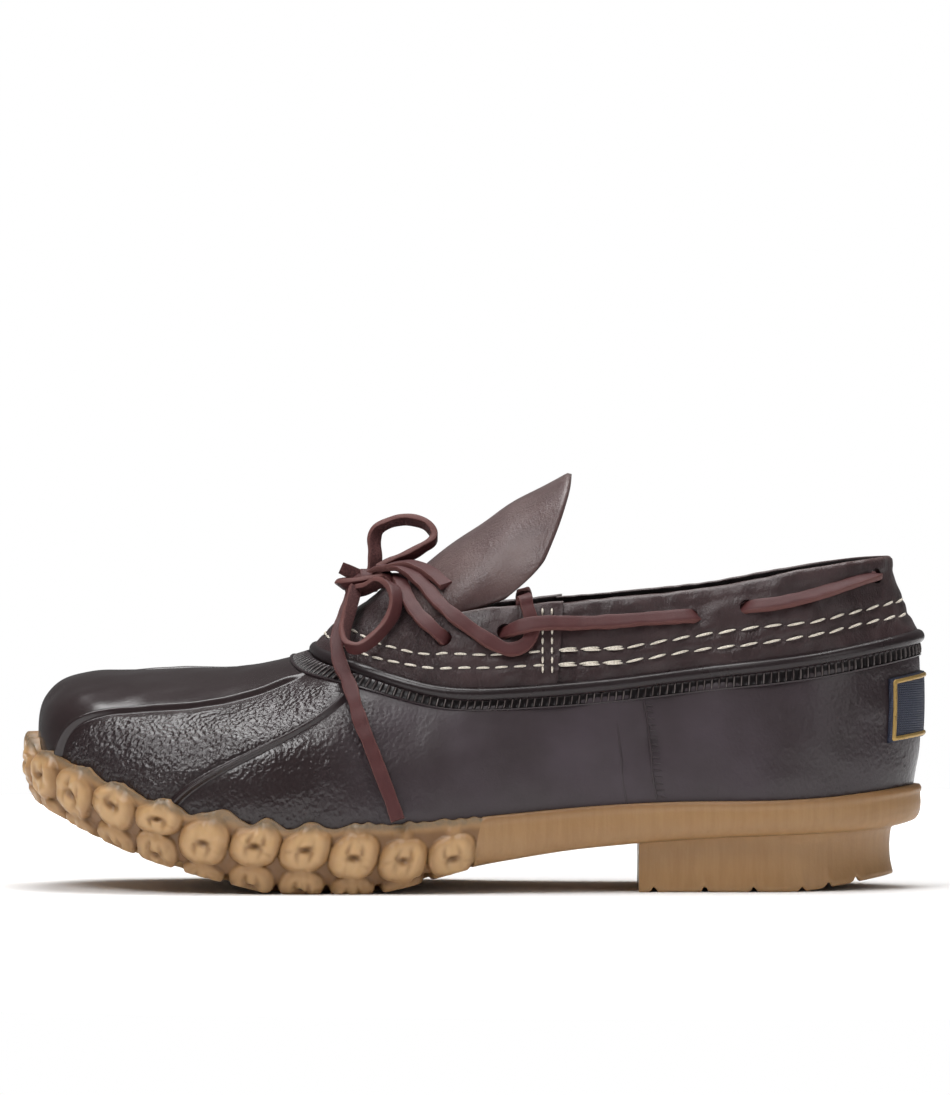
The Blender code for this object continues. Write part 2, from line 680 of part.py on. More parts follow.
def cut_holes(solid, piece):
    for at, height, owner in HOLES:
        if owner != piece:
            continue
        for side in (-1, 1):
            u, t = place_on(leather_at, at * LENGTH, height, side)
            spot = leather_at(u, t)
            way = normal_of(leather_at, np.array(u), np.array(t))
            wide = EYELET if piece == "vamp" else SLOT
            bpy.ops.mesh.primitive_cylinder_add(vertices=8, radius=wide / 2, depth=0.012)
            tool = bpy.context.object
            tool.location = place(spot)
            tool.rotation_euler = direction(way)
            bpy.context.view_layer.update()
            use_cutter(solid, tool, "hole")


def direction(way):
    """The turn that points an object's own Z along a direction."""
    level = math.hypot(way[0], way[1])
    return (0.0, math.atan2(level, way[2]), math.atan2(way[1], way[0]))


def make_leather():
    rows = np.array([0.0, 0.35, 0.7, 1.0])
    vamp_u = np.linspace(JOINT_INNER - 1, JOINT_OUTER, 37)
    vamp = add_strip_solid("vamp", leather_section(vamp_u, VAMP_LEATHER, rows), "leather")
    cut_holes(vamp, "vamp")
    clear = 1.5 * GAP / (LENGTH * 2.3)
    collar_u = np.linspace(JOINT_OUTER + clear, JOINT_INNER - clear, 41)
    collar = add_strip_solid("collar", leather_section(collar_u, LEATHER, rows), "leather")
    cut_holes(collar, "collar")


def tongue_at(along, across):
    """The tongue's outer face: along is 0 at its root and 1 at its free end, across is -1 to 1."""
    at, height, half_width, depth = np.array(TONGUE).T
    side = np.abs(across)
    end = TONGUE_TIP - 0.0126 * side**2.5 - 0.009 * smooth(side, 0.84, 1.16) * 2
    x = TONGUE_ROOT + (end - TONGUE_ROOT) * along
    share = x / LENGTH
    angle = across * math.pi / 2
    y = through(at, half_width, share) * np.sin(angle)
    z = through(at, height, share) - through(at, depth, share) * (1 - np.cos(angle))
    return np.stack(np.broadcast_arrays(x, y, z), axis=-1)


def make_tongue():
    along, across = np.linspace(0, 1, 11), np.linspace(-1, 1, 13)
    outer = tongue_at(along[:, None], across[None, :])
    slope_a = np.gradient(outer, axis=0)
    slope_b = np.gradient(outer, axis=1)
    normal = unit(np.cross(slope_a, slope_b))
    normal *= np.sign(normal[..., 2:3] + 1e-9)
    sides = np.stack([0 * across, across, 0 * across], axis=-1)
    normal = np.where(np.abs(normal[..., 2:3]) < 0.08, unit(sides)[None], normal)
    inner = outer - normal * TONGUE_THICK
    points = np.concatenate([outer.reshape(-1, 3), inner.reshape(-1, 3)])
    rows, columns = outer.shape[:2]
    faces = grid_faces(rows, columns, False, False)
    low = rows * columns
    faces += [tuple(low + k for k in reversed(face)) for face in list(faces)]
    edge = [(0, j) for j in range(columns)] + [(i, columns - 1) for i in range(1, rows)]
    edge += [(rows - 1, j) for j in range(columns - 2, -1, -1)]
    edge += [(i, 0) for i in range(rows - 2, 0, -1)]
    edge = [i * columns + j for i, j in edge]
    for here, there in zip(edge, edge[1:] + edge[:1]):
        faces.append((here, there, low + there, low + here))
    add_solid("tongue", points, faces, "tongue")


def make_label():
    """The label plate: a piece of the shell's own outer face, bent round the back of the heel."""
    middle = np.array([0.5])
    span = np.linalg.norm(shell_at(0.5 + STEP, 0.5) - shell_at(0.5 - STEP, 0.5)) / (2 * STEP)
    half = LABEL_WIDTH / 2 / span
    rim = line("rim", middle)[0, 2]
    foot = line("foot", middle)[0, 2]
    v_low = (LABEL_BOTTOM - foot) / (rim - foot)
    v_high = (LABEL_BOTTOM + LABEL_HEIGHT - foot) / (rim - foot)
    u = np.linspace(0.5 - half, 0.5 + half, 11)
    section = []
    for v, lift in (
        (v_low, 1.3 * GAP),
        (v_low, LABEL_THICK),
        ((v_low + v_high) / 2, LABEL_THICK),
        (v_high, LABEL_THICK),
        (v_high, 1.3 * GAP),
        ((v_low + v_high) / 2, 1.3 * GAP),
    ):
        section.append(lifted(shell_at, u, np.full(len(u), v), np.full(len(u), lift)))
    add_strip_solid("heel_label", np.array(section), "label")


# The lace

def add_ribbon(name, route, spacing=0.006, across=None):
    """A flat strip of lace along a route: it lies on the shoe, or keeps its width along across."""
    middle = along_route(np.asarray(route) * MM, spacing)
    tangent = unit(np.gradient(middle, axis=0))
    if across is None:
        outer = np.stack(
            [0 * middle[:, 0], middle[:, 1], np.maximum(middle[:, 2] - LACE_AXIS, 0)], axis=1
        )
        across = np.cross(unit(outer), tangent)
    across = np.broadcast_to(np.asarray(across, float), tangent.shape)
    across = unit(across - tangent * (across * tangent).sum(axis=1, keepdims=True))
    flat = np.cross(tangent, across)
    wide, thick = LACE_WIDTH / 2, LACE_THICK / 2
    section = []
    for a, b in LACE_SECTION:
        section.append(middle + across * wide * a + flat * thick * b)
    return add_strip_solid(name, np.array(section), "rawhide")


def mirrored(route):
    """The same route on the inner side of the foot."""
    return tuple((x, -y, z) for x, y, z in route)


def make_lace():
    for side, turn in (("outer", tuple), ("inner", mirrored)):
        add_ribbon(f"lace_collar_rear_{side}", turn(COLLAR_REAR), 0.008)
        add_ribbon(f"lace_collar_front_{side}", turn(COLLAR_FRONT), 0.007)
        add_ribbon(f"lace_hitch_{side}", turn(HITCH), 0.006)
    add_ribbon("lace_crossing", CROSSING + mirrored(CROSSING)[-2::-1], 0.006)
    add_ribbon("lace_loop_upper", LOOP_UPPER, 0.005, across=(0, 1, 0))
    add_ribbon("lace_loop_near", LOOP_NEAR, 0.005)
    add_ribbon("lace_end_long", END_LONG, 0.007)
    add_ribbon("lace_end_short", END_SHORT, 0.006)
    bpy.ops.mesh.primitive_uv_sphere_add(segments=12, ring_count=7, radius=MM / 2)
    knot = bpy.context.object
    for owner in list(knot.users_collection):
        owner.objects.unlink(knot)
    PARTS.objects.link(knot)
    knot.name = "lace_knot"
    knot.scale = KNOT_SIZE
    knot.location = place(np.array(KNOT_MIDDLE) * MM)
    knot.data.shade_smooth()
    knot.data.materials.append(material("lace_knot", *SKIN_COLOURS["rawhide"]))


# Main


def clear_scene():
    for thing in list(bpy.data.objects):
        bpy.data.objects.remove(thing)


clear_scene()
PARTS = bpy.data.collections.new("duck_shoe")
CUTTERS = bpy.data.collections.new("cutters")
for group in (PARTS, CUTTERS):
    bpy.context.scene.collection.children.link(group)

make_shell()
make_outsole()
make_insole()
make_heel()
make_leather()
make_tongue()
make_label()
make_lace()
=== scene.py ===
"""The dressed scene of a low duck shoe, left foot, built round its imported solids.

Metres, +Z up, toe to -X, outer side of the foot to -Y. Inside the form x runs from the toe's tip,
and every finished point is moved by the heel's middle, so the origin lies under the heel.
Each sub-assembly is a class with its sizes as fields; each finish builds one material.
"""

from __future__ import annotations

import logging
import math
from dataclasses import dataclass, field
from enum import Enum
from typing import Callable, Sequence

import bmesh
import bpy
import numpy as np
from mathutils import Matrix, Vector
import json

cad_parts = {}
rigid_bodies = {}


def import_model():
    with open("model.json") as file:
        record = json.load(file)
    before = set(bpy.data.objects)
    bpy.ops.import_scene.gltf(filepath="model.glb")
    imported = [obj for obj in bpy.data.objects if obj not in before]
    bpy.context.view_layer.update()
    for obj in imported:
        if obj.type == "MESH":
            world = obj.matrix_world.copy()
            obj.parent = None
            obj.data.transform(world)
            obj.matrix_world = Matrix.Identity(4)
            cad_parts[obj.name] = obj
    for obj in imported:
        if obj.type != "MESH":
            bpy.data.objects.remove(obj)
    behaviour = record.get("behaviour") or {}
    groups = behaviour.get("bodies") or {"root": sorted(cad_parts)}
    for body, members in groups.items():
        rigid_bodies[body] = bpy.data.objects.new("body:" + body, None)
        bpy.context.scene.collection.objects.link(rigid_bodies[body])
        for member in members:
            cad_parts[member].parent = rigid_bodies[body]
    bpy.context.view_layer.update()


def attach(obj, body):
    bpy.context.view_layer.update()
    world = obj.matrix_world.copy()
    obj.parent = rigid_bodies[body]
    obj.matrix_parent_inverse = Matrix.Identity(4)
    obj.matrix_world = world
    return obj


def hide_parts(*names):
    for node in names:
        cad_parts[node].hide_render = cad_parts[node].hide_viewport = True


Array = np.ndarray
Surface = Callable[[Array, Array], Array]
LOG = logging.getLogger("duck_shoe")
MM = 0.001
BODY = "root"
UP = np.array([0.0, 0.0, 1.0])
# From the toe's tip to the heel's middle, where the frame's origin lies
TO_HEEL = np.array([0.233, 0.0, 0.0])


class Side(Enum):
    """The side of the foot that a detail lies on: its sign along y."""

    OUTER = -1
    INNER = 1


# Curves and fields


def smoothstep(value: Array | float, low: float, high: float) -> Array:
    """0 below low and 1 above high: 3t^2 - 2t^3 between them."""
    t = np.clip((np.asarray(value, float) - low) / (high - low), 0, 1)
    return t * t * (3 - 2 * t)


def bell(value: Array | float, width: float) -> Array:
    """1 at zero, falling as exp(-(value / width)^2)."""
    return np.exp(-((np.asarray(value, float) / width) ** 2))


def unit(vectors: Array) -> Array:
    """Vectors scaled to length one along the last axis."""
    return vectors / np.maximum(np.linalg.norm(vectors, axis=-1, keepdims=True), 1e-12)


def circle(count: int) -> Array:
    """Angles of one full turn in count equal steps."""
    return np.linspace(0, 2 * math.pi, count, endpoint=False)


def from_toe(u: Array) -> Array:
    """Share of the loop from the toe, alike on both sides: 0 at the toe, 0.5 at the heel."""
    return np.minimum(u % 1, 1 - u % 1)


def ring_tangent(ring: Array, axis: int = 0) -> Array:
    """Direction along a closed line at each of its points, from the two beside it."""
    return unit(np.roll(ring, -1, axis=axis) - np.roll(ring, 1, axis=axis))


def square_to(tangent: Array, way: Array) -> Array:
    """A direction turned square to a line's own direction."""
    return unit(way - tangent * (way * tangent).sum(axis=1, keepdims=True))


def monotone(at: Sequence[float], values: Sequence[float], where: Array) -> Array:
    """A cubic through values at the places at, with harmonic-mean slopes, so it never overshoots.

    Args:
        at: rising places of the known values.
        values: the known values.
        where: places to read the curve at; outside at it keeps its end values.

    Returns:
        The curve's values at where.
    """
    at, values, where = (np.asarray(a, float) for a in (at, values, where))
    step = np.diff(at)
    slope = np.diff(values) / step
    both = slope[:-1] * slope[1:]
    inner = np.where(both > 0, 2 * both / np.where(both > 0, slope[:-1] + slope[1:], 1), 0)
    tangent = np.concatenate([slope[:1], inner, slope[-1:]])
    where = np.clip(where, at[0], at[-1])
    i = np.clip(np.searchsorted(at, where) - 1, 0, len(step) - 1)
    t = (where - at[i]) / step[i]
    rise = values[i + 1] - values[i]
    start, end = tangent[i] * step[i], tangent[i + 1] * step[i]
    return values[i] + t * (start + t * (3 * rise - 2 * start - end + t * (start + end - 2 * rise)))


def closed_curve(rows: Array, u: Array) -> Array:
    """A closed cubic spline with continuous curvature through the rows, at the shares u."""
    rows = np.asarray(rows, float)
    count = len(rows)
    eye = np.eye(count)
    beside = np.roll(eye, 1, axis=0) + np.roll(eye, -1, axis=0)
    bend = np.linalg.solve(4 * eye + beside, 6 * (beside - 2 * eye) @ rows)
    along = (np.asarray(u, float) % 1) * count
    i = np.minimum(along.astype(int), count - 1)
    j = (i + 1) % count
    b = (along - i)[..., None]
    a = 1 - b
    return a * rows[i] + b * rows[j] + ((a**3 - a) * bend[i] + (b**3 - b) * bend[j]) / 6


def run_lengths(points: Array) -> Array:
    """Distance along a line of points, from its start to each point."""
    return np.concatenate([[0], np.cumsum(np.linalg.norm(np.diff(points, axis=0), axis=1))])


def smooth_route(points: Sequence[Sequence[float]], spacing: float) -> Array:
    """A Catmull-Rom curve through the points, read again at equal distances about spacing apart.

    Args:
        points: the route's points, in metres.
        spacing: distance between the points of the result.

    Returns:
        An array of points, with the route's two ends kept.
    """
    points = np.asarray(points, float)
    ends = np.concatenate([[2 * points[0] - points[1]], points, [2 * points[-1] - points[-2]]])
    before, start, end, after = ends[:-3], ends[1:-2], ends[2:-1], ends[3:]
    t = np.linspace(0, 1, 24, endpoint=False)[None, :, None]
    before, start, end, after = (a[:, None] for a in (before, start, end, after))
    fine = (
        start
        + t * (end - before) / 2
        + t**2 * (before - 2.5 * start + 2 * end - after / 2)
        + t**3 * (1.5 * (start - end) + (after - before) / 2)
    )
    fine = np.concatenate([fine.reshape(-1, 3), points[-1:]])
    length = run_lengths(fine)
    stops = np.linspace(0, length[-1], max(4, round(length[-1] / spacing) + 1))
    return np.stack([np.interp(stops, length, fine[:, k]) for k in range(3)], axis=1)


def waves(points: Array, wavelength: float, seed: int, count: int = 14) -> Array:
    """Soft unevenness: the mean of count sine waves in seeded directions, near -1 to 1.

    Args:
        points: places, with x, y, z on the last axis.
        wavelength: the typical distance between crests, in metres.
        seed: picks the directions, phases and lengths of the waves.
        count: how many waves are added up.

    Returns:
        One value for each place.
    """
    dice = np.random.default_rng(seed)
    ways = unit(dice.normal(size=(count, 3)))
    pace = 2 * math.pi / (wavelength * dice.uniform(0.7, 1.5, count))
    phase = dice.uniform(0, 2 * math.pi, count)
    total = np.zeros(points.shape[:-1])
    for way, rate, shift in zip(ways, pace, phase):
        total += np.sin(points @ way * rate + shift)
    return total * 1.6 / count**0.5 / 1.4


def spread(density: Callable[[Array], Array], low: float, high: float, count: int) -> Array:
    """count places from low to high, packed in proportion to a density."""
    fine = np.linspace(low, high, 6000)
    total = np.concatenate([[0], np.cumsum((density(fine)[1:] + density(fine)[:-1]) / 2)])
    return np.interp(np.linspace(0, total[-1], count), total, fine)


# The shoe's form, the same surfaces as its solids have


SOLE_LINE = (
    # at, toe, heel
    (0.013, 1.00, 0.00),
    (0.047, 0.82, 0.00),
    (0.090, 0.60, 0.00),
    (0.140, 0.39, 0.00),
    (0.190, 0.23, 0.00),
    (0.240, 0.10, 0.00),
    (0.290, 0.00, 0.00),
    (0.390, 0.00, 0.00),
    (0.430, 0.00, 0.11),
    (0.510, 0.00, 0.44),
    (0.570, 0.00, 0.61),
    (0.630, 0.00, 0.73),
    (0.780, 0.00, 0.90),
    (0.950, 0.00, 1.00),
    (1.000, 0.00, 1.12),
)
UPPER = (
    # foot_x, foot_y, rim_x, rim_y, rim_rise, top_x, top_y, top_rise, out, up, reach, drop, wrap
    (0.026, 0.048, 0.328, 0.019, 0.769, 0.409, 0.010, 0.993, 0.15, 0.60, 0.57, 0.24, 0.82),
    (0.044, -0.190, 0.340, -0.143, 0.745, 0.414, -0.138, 0.966, 0.09, 0.50, 0.52, 0.36, 0.86),
    (0.160, -0.410, 0.384, -0.290, 0.700, 0.443, -0.274, 0.866, 0.11, 0.26, 0.28, 0.28, 1.27),
    (0.305, -0.457, 0.463, -0.391, 0.588, 0.493, -0.334, 0.853, 0.09, 0.28, 0.08, 0.24, 1.20),
    (0.446, -0.456, 0.547, -0.434, 0.541, 0.557, -0.355, 0.846, 0.06, 0.22, 0.05, 0.20, 1.00),
    (0.594, -0.456, 0.655, -0.450, 0.530, 0.659, -0.369, 0.838, 0.05, 0.20, 0.03, 0.18, 0.72),
    (0.740, -0.469, 0.767, -0.452, 0.547, 0.764, -0.373, 0.849, 0.05, 0.20, 0.03, 0.18, 0.55),
    (0.885, -0.446, 0.895, -0.419, 0.585, 0.882, -0.345, 0.902, 0.05, 0.20, 0.03, 0.20, 0.51),
    (0.989, 0.000, 0.999, 0.000, 0.615, 0.968, 0.000, 0.918, 0.05, 0.20, 0.02, 0.20, 0.58),
    (0.885, 0.439, 0.895, 0.415, 0.585, 0.882, 0.345, 0.902, 0.05, 0.20, 0.03, 0.20, 0.51),
    (0.740, 0.443, 0.767, 0.439, 0.547, 0.764, 0.373, 0.849, 0.05, 0.20, 0.03, 0.18, 0.55),
    (0.594, 0.394, 0.655, 0.432, 0.530, 0.659, 0.369, 0.838, 0.07, 0.20, 0.03, 0.18, 0.72),
    (0.446, 0.431, 0.547, 0.424, 0.541, 0.557, 0.355, 0.846, 0.07, 0.22, 0.05, 0.20, 1.00),
    (0.300, 0.476, 0.463, 0.391, 0.588, 0.493, 0.334, 0.853, 0.08, 0.30, 0.08, 0.24, 1.20),
    (0.150, 0.438, 0.384, 0.305, 0.700, 0.443, 0.282, 0.866, 0.11, 0.44, 0.30, 0.22, 1.27),
    (0.040, 0.257, 0.340, 0.170, 0.758, 0.414, 0.145, 0.966, 0.14, 0.61, 0.55, 0.22, 0.86),
)
COLUMNS = (
    "foot_x foot_y rim_x rim_y rim_rise top_x top_y top_rise out up reach drop wrap".split()
)
TONGUE_ARCH = (
    # at, height, half_width, depth
    (0.375, 0.0854, 0.0188, 0.0087),
    (0.410, 0.0945, 0.0226, 0.0146),
    (0.443, 0.1046, 0.0252, 0.0206),
    (0.493, 0.1163, 0.0294, 0.0256),
    (0.532, 0.1235, 0.0300, 0.0285),
    (0.575, 0.1312, 0.0302, 0.0305),
    (0.615, 0.1378, 0.0300, 0.0310),
)


@dataclass(frozen=True)
class ShoeForm:
    """The last and the upper as surfaces of two shares: round the loop, and from foot to edge."""

    length: float = 0.296
    ball_width: float = 0.105
    heel_width: float = 0.074
    instep: float = 0.091
    heel_height: float = 0.020
    toe_spring: float = 0.029
    fore_sole: float = 0.0085
    rear_sole: float = 0.0045
    wrap_height: float = 0.0135
    foxing: float = 0.0030
    bead: float = 0.0023
    puff: float = 0.0012
    tongue_tip: float = 0.1810
    tongue_root: float = 0.1130
    gap: float = 0.0003
    step: float = 0.002

    def sole_bottom(self, x: Array) -> Array:
        """Height of the sole's underside above the floor at x."""
        at, toe, heel = np.array(SOLE_LINE).T
        lie = toe * self.toe_spring + heel * self.heel_height
        return monotone(at, lie, np.asarray(x) / self.length)

    def plate_top(self, x: Array) -> Array:
        """Height of the face that the upper stands on at x."""
        share = smoothstep(np.asarray(x) / self.length, 0.40, 0.60)
        return self.sole_bottom(x) + self.fore_sole + (self.rear_sole - self.fore_sole) * share

    def local_width(self, x: Array) -> Array:
        """The width that the table's sideways shares are of: the ball's, then the heel's."""
        share = smoothstep(np.asarray(x) / self.length, 0.35, 0.85)
        return self.ball_width + (self.heel_width - self.ball_width) * share

    def column(self, name: str) -> Array:
        """One named column of the upper's table."""
        return np.array(UPPER)[:, COLUMNS.index(name)]

    def stations(self, which: str) -> Array:
        """The sixteen points of the foot line, the rim or the top edge."""
        x = self.column(which + "_x") * self.length
        y = self.column(which + "_y") * self.local_width(x)
        if which == "foot":
            z = self.plate_top(x) + self.gap
        else:
            z = self.plate_top(x) + self.column(which + "_rise") * self.instep
        return np.stack([x, y, z], axis=1)

    def line(self, which: str, u: Array) -> Array:
        """Points of a line round the foot, at the shares u of the loop."""
        return closed_curve(self.stations(which), u)

    def outward(self, which: str, u: Array) -> Array:
        """The level direction away from the shoe, square to a line round the foot."""
        u = np.asarray(u, float)
        along = self.line(which, u + self.step) - self.line(which, u - self.step)
        return unit(np.stack([along[..., 1], -along[..., 0], 0 * along[..., 2]], axis=-1))

    def handle(self, name: str, u: Array) -> Array:
        """Length of one of the shell curve's handles, at the shares u."""
        return closed_curve(self.column(name)[:, None] * self.instep, u)

    def shell(self, u: Array, v: Array) -> Array:
        """The shell's outer face: a cubic Bezier from the sole's edge (v 0) to the rim (v 1)."""
        u, v = np.broadcast_arrays(np.asarray(u, float), np.asarray(v, float))
        foot, rim = self.line("foot", u), self.line("rim", u)
        first = foot + self.outward("foot", u) * self.handle("out", u) + UP * self.handle("up", u)
        last = rim + self.outward("rim", u) * self.handle("reach", u) - UP * self.handle("drop", u)
        v = v[..., None]
        w = 1 - v
        return w**3 * foot + 3 * w**2 * v * first + 3 * w * v**2 * last + v**3 * rim

    def leather(self, u: Array, t: Array) -> Array:
        """The leather's outer face: from above the bead (t 0) to the top edge (t 1), puffed out."""
        u, t = np.broadcast_arrays(np.asarray(u, float), np.asarray(t, float))
        lift = UP * (self.bead + 2.2 * self.gap)
        base = self.line("rim", u) - self.outward("rim", u) * 0.2 * self.bead + lift
        top = self.line("top", u)
        t = t[..., None]
        puff = self.puff * (1 - 2 * smoothstep(base[..., :1] / self.length, 0.86, 0.97))
        return base + (top - base) * t + self.outward("rim", u) * puff * 4 * t * (1 - t)

    def tongue(self, along: Array, across: Array) -> Array:
        """The tongue's outer face: half an ellipse across, on a ridge line from root to tip."""
        at, height, half_width, depth = np.array(TONGUE_ARCH).T
        side = np.abs(across)
        end = self.tongue_tip - 0.0126 * side**2.5 - 0.018 * smoothstep(side, 0.84, 1.16)
        x = self.tongue_root + (end - self.tongue_root) * along
        share = x / self.length
        angle = across * math.pi / 2
        y = monotone(at, half_width, share) * np.sin(angle)
        z = monotone(at, height, share) - monotone(at, depth, share) * (1 - np.cos(angle))
        return np.stack(np.broadcast_arrays(x, y, z), axis=-1)

    def normal(self, surface: Surface, u: Array, v: Array, low: float = 0.0) -> Array:
        """The outward normal of a surface: the cross product of its slopes both ways."""
        across = surface(u + self.step, v) - surface(u - self.step, v)
        upper, lower = np.minimum(v + self.step, 1), np.maximum(v - self.step, low)
        return unit(np.cross(across, surface(u, upper) - surface(u, lower)))

    def lifted(self, surface: Surface, u: Array, v: Array, lift: Array | float) -> Array:
        """A surface moved along its own normal; a negative lift is towards the foot."""
        u, v = np.broadcast_arrays(np.asarray(u, float), np.asarray(v, float))
        lift = np.broadcast_to(np.asarray(lift, float), u.shape)
        return surface(u, v) + self.normal(surface, u, v) * lift[..., None]

    def meridian(self, surface: Surface, u: Array) -> Array:
        """Length of a surface from its low to its high edge, at the shares u."""
        points = surface(np.asarray(u)[None, :], np.linspace(0, 1, 17)[:, None])
        return np.linalg.norm(np.diff(points, axis=0), axis=2).sum(axis=0)

    def wrap_share(self, u: Array) -> Array:
        """The v at which the gum's upper edge lies on the shell."""
        height = closed_curve(self.column("wrap")[:, None] * self.wrap_height, u)[..., 0]
        return height / self.meridian(self.shell, u)

    def gum(self, u: Array, share: Array) -> Array:
        """The gum's outer face without lugs: a cubic Bezier from its top (0) to underneath (1)."""
        u = np.asarray(u, float)
        wrap = self.wrap_share(u)
        foot, out = self.line("foot", u), self.outward("foot", u)
        fore = 1 - smoothstep(foot[:, 0] / self.length, 0.48, 0.56)[:, None]
        low = self.sole_bottom(foot[:, 0])[:, None] * UP
        flat = foot * np.array([1, 1, 0])
        top = self.lifted(self.shell, u, wrap, 0.6 * self.foxing)
        bulge = 1.45 * self.foxing
        shoulder = flat + out * bulge + (0.35 * top + 0.65 * foot) * UP
        corner = flat + out * (bulge + 0.0008) + low
        bottom = flat - out * (0.008 * fore + 0.0005 * (1 - fore)) + low
        t = np.asarray(share, float)[:, None, None]
        w = 1 - t
        points = w**3 * top + 3 * w**2 * t * shoulder + 3 * w * t**2 * corner + t**3 * bottom
        points[..., 2] = np.maximum(points[..., 2], self.sole_bottom(points[..., 0]))
        return points

    def find(self, surface: Surface, x: float, z: float, side: Side) -> tuple[float, float]:
        """The (u, v) where one side's face passes the point x, z of the side view.

        Args:
            surface: the face to look on.
            x: distance from the toe's tip.
            z: height above the floor.
            side: which side's face.

        Returns:
            The two shares, found on ever finer grids.
        """
        low, high = (0.03, 0.5) if side is Side.OUTER else (0.5, 0.97)
        centre, half = np.array([(low + high) / 2, 0.5]), np.array([(high - low) / 2, 0.5])
        for _ in range(9):
            u = np.clip(centre[0] + half[0] * np.linspace(-1, 1, 21), low, high)
            v = np.clip(centre[1] + half[1] * np.linspace(-1, 1, 21), 0, 1)
            points = surface(u[:, None], v[None, :])
            far = np.hypot(points[..., 0] - x, points[..., 2] - z)
            i, j = np.unravel_index(far.argmin(), far.shape)
            centre, half = np.array([u[i], v[j]]), half * 0.35
        return float(centre[0]), float(centre[1])


FORM = ShoeForm()


# Meshes


def placed(name: str, data: bpy.types.ID) -> bpy.types.Object:
    """A new object of the scene that shows the data."""
    made = bpy.data.objects.new(name, data)
    bpy.context.scene.collection.objects.link(made)
    return made


def weld(thing: bpy.types.Object, distance: float) -> None:
    """Joins an object's points that lie closer than a distance, and turns its faces outward."""
    work = bmesh.new()
    work.from_mesh(thing.data)
    bmesh.ops.remove_doubles(work, verts=work.verts, dist=distance)
    bmesh.ops.recalc_face_normals(work, faces=work.faces)
    work.to_mesh(thing.data)
    work.free()


@dataclass
class MeshPart:
    """A mesh that is filled grid by grid and then made into one object."""

    name: str
    points: list[Array] = field(default_factory=list)
    faces: list[list[int]] = field(default_factory=list)
    slots: list[int] = field(default_factory=list)
    marks: dict[str, list[Array]] = field(default_factory=dict)
    size: int = 0

    def add_points(self, points: Array, **marks: Array | float) -> Array:
        """Adds points and their marks.

        Args:
            points: any array with x, y, z last, measured from the toe's tip.
            marks: one value a point for each named attribute, or one for all.

        Returns:
            The points' numbers, in the shape of the array.
        """
        shape = points.shape[:-1]
        count = int(np.prod(shape))
        numbers = np.arange(self.size, self.size + count).reshape(shape)
        self.points.append(points.reshape(-1, 3) - TO_HEEL)
        for name in sorted(set(self.marks) | set(marks)):
            held = self.marks.setdefault(name, [np.zeros(self.size)] if self.size else [])
            held.append(np.broadcast_to(marks.get(name, 0.0), shape).reshape(-1).astype(float))
        self.size += count
        return numbers

    def add_faces(self, corners: Array, slot: Array | int = 0) -> None:
        """Adds faces, a row of corner numbers each, with their material slots."""
        self.faces.extend(corners.tolist())
        self.slots.extend(np.broadcast_to(slot, len(corners)).tolist())

    def add_grid(
        self,
        points: Array,
        close_rows: bool = False,
        close_columns: bool = False,
        slot: Array | int = 0,
        **marks: Array | float,
    ) -> Array:
        """Adds a grid of points with a four-sided face in each cell.

        Args:
            points: rows by columns by 3.
            close_rows: joins the last row to the first.
            close_columns: joins the last column to the first.
            slot: material slot, one for all or one for each row of cells.
            marks: named attributes, as add_points takes them.

        Returns:
            The points' numbers, rows by columns.
        """
        n = self.add_points(points, **marks)
        rows = np.concatenate([n, n[:1]]) if close_rows else n
        self.add_cells(rows, close_columns, slot)
        return n

    def add_cells(self, n: Array, close_columns: bool = False, slot: Array | int = 0) -> None:
        """Adds a four-sided face in each cell of a grid of points that are there already.

        Args:
            n: the points' numbers, rows by columns.
            close_columns: joins the last column to the first.
            slot: material slot, one for all or one for each row of cells.
        """
        n = np.concatenate([n, n[:, :1]], axis=1) if close_columns else n
        cells = np.stack([n[:-1, :-1], n[:-1, 1:], n[1:, 1:], n[1:, :-1]], axis=-1)
        rows = np.broadcast_to(np.asarray(slot), len(cells))
        self.add_faces(cells.reshape(-1, 4), np.repeat(rows, cells.shape[1]))

    def add_cap(self, loop: Array, slot: int = 0) -> None:
        """Closes a loop of points with rungs from one half of it to the other."""
        half = len(loop) // 2
        left, right = loop[:half], loop[::-1][:half]
        self.add_faces(np.stack([left[:-1], left[1:], right[1:], right[:-1]], axis=1), slot)

    def make(self, finishes: Sequence[bpy.types.Material], angle: float = 40.0) -> bpy.types.Object:
        """Builds the object, turns its faces outward and gives it its materials.

        Args:
            finishes: the materials of its slots, in order.
            angle: edges sharper than this many degrees are drawn sharp.

        Returns:
            The new object, riding on the shoe's one body.
        """
        mesh = bpy.data.meshes.new(self.name)
        mesh.from_pydata(np.concatenate(self.points), [], self.faces)
        mesh.polygons.foreach_set("material_index", np.array(self.slots, np.int32))
        work = bmesh.new()
        work.from_mesh(mesh)
        bmesh.ops.recalc_face_normals(work, faces=work.faces)
        if work.calc_volume(signed=True) < 0:
            bmesh.ops.reverse_faces(work, faces=work.faces)
        work.to_mesh(mesh)
        work.free()
        for name, values in self.marks.items():
            held = mesh.attributes.new(name, "FLOAT", "POINT")
            held.data.foreach_set("value", np.concatenate(values).astype(np.float32))
        mesh.shade_smooth()
        mesh.set_sharp_from_angle(angle=math.radians(angle))
        for finish in finishes:
            mesh.materials.append(finish)
        made = placed(self.name, mesh)
        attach(made, BODY)
        LOG.info("%s: %d points, %d faces", self.name, len(mesh.vertices), len(mesh.polygons))
        return made


# Finishes


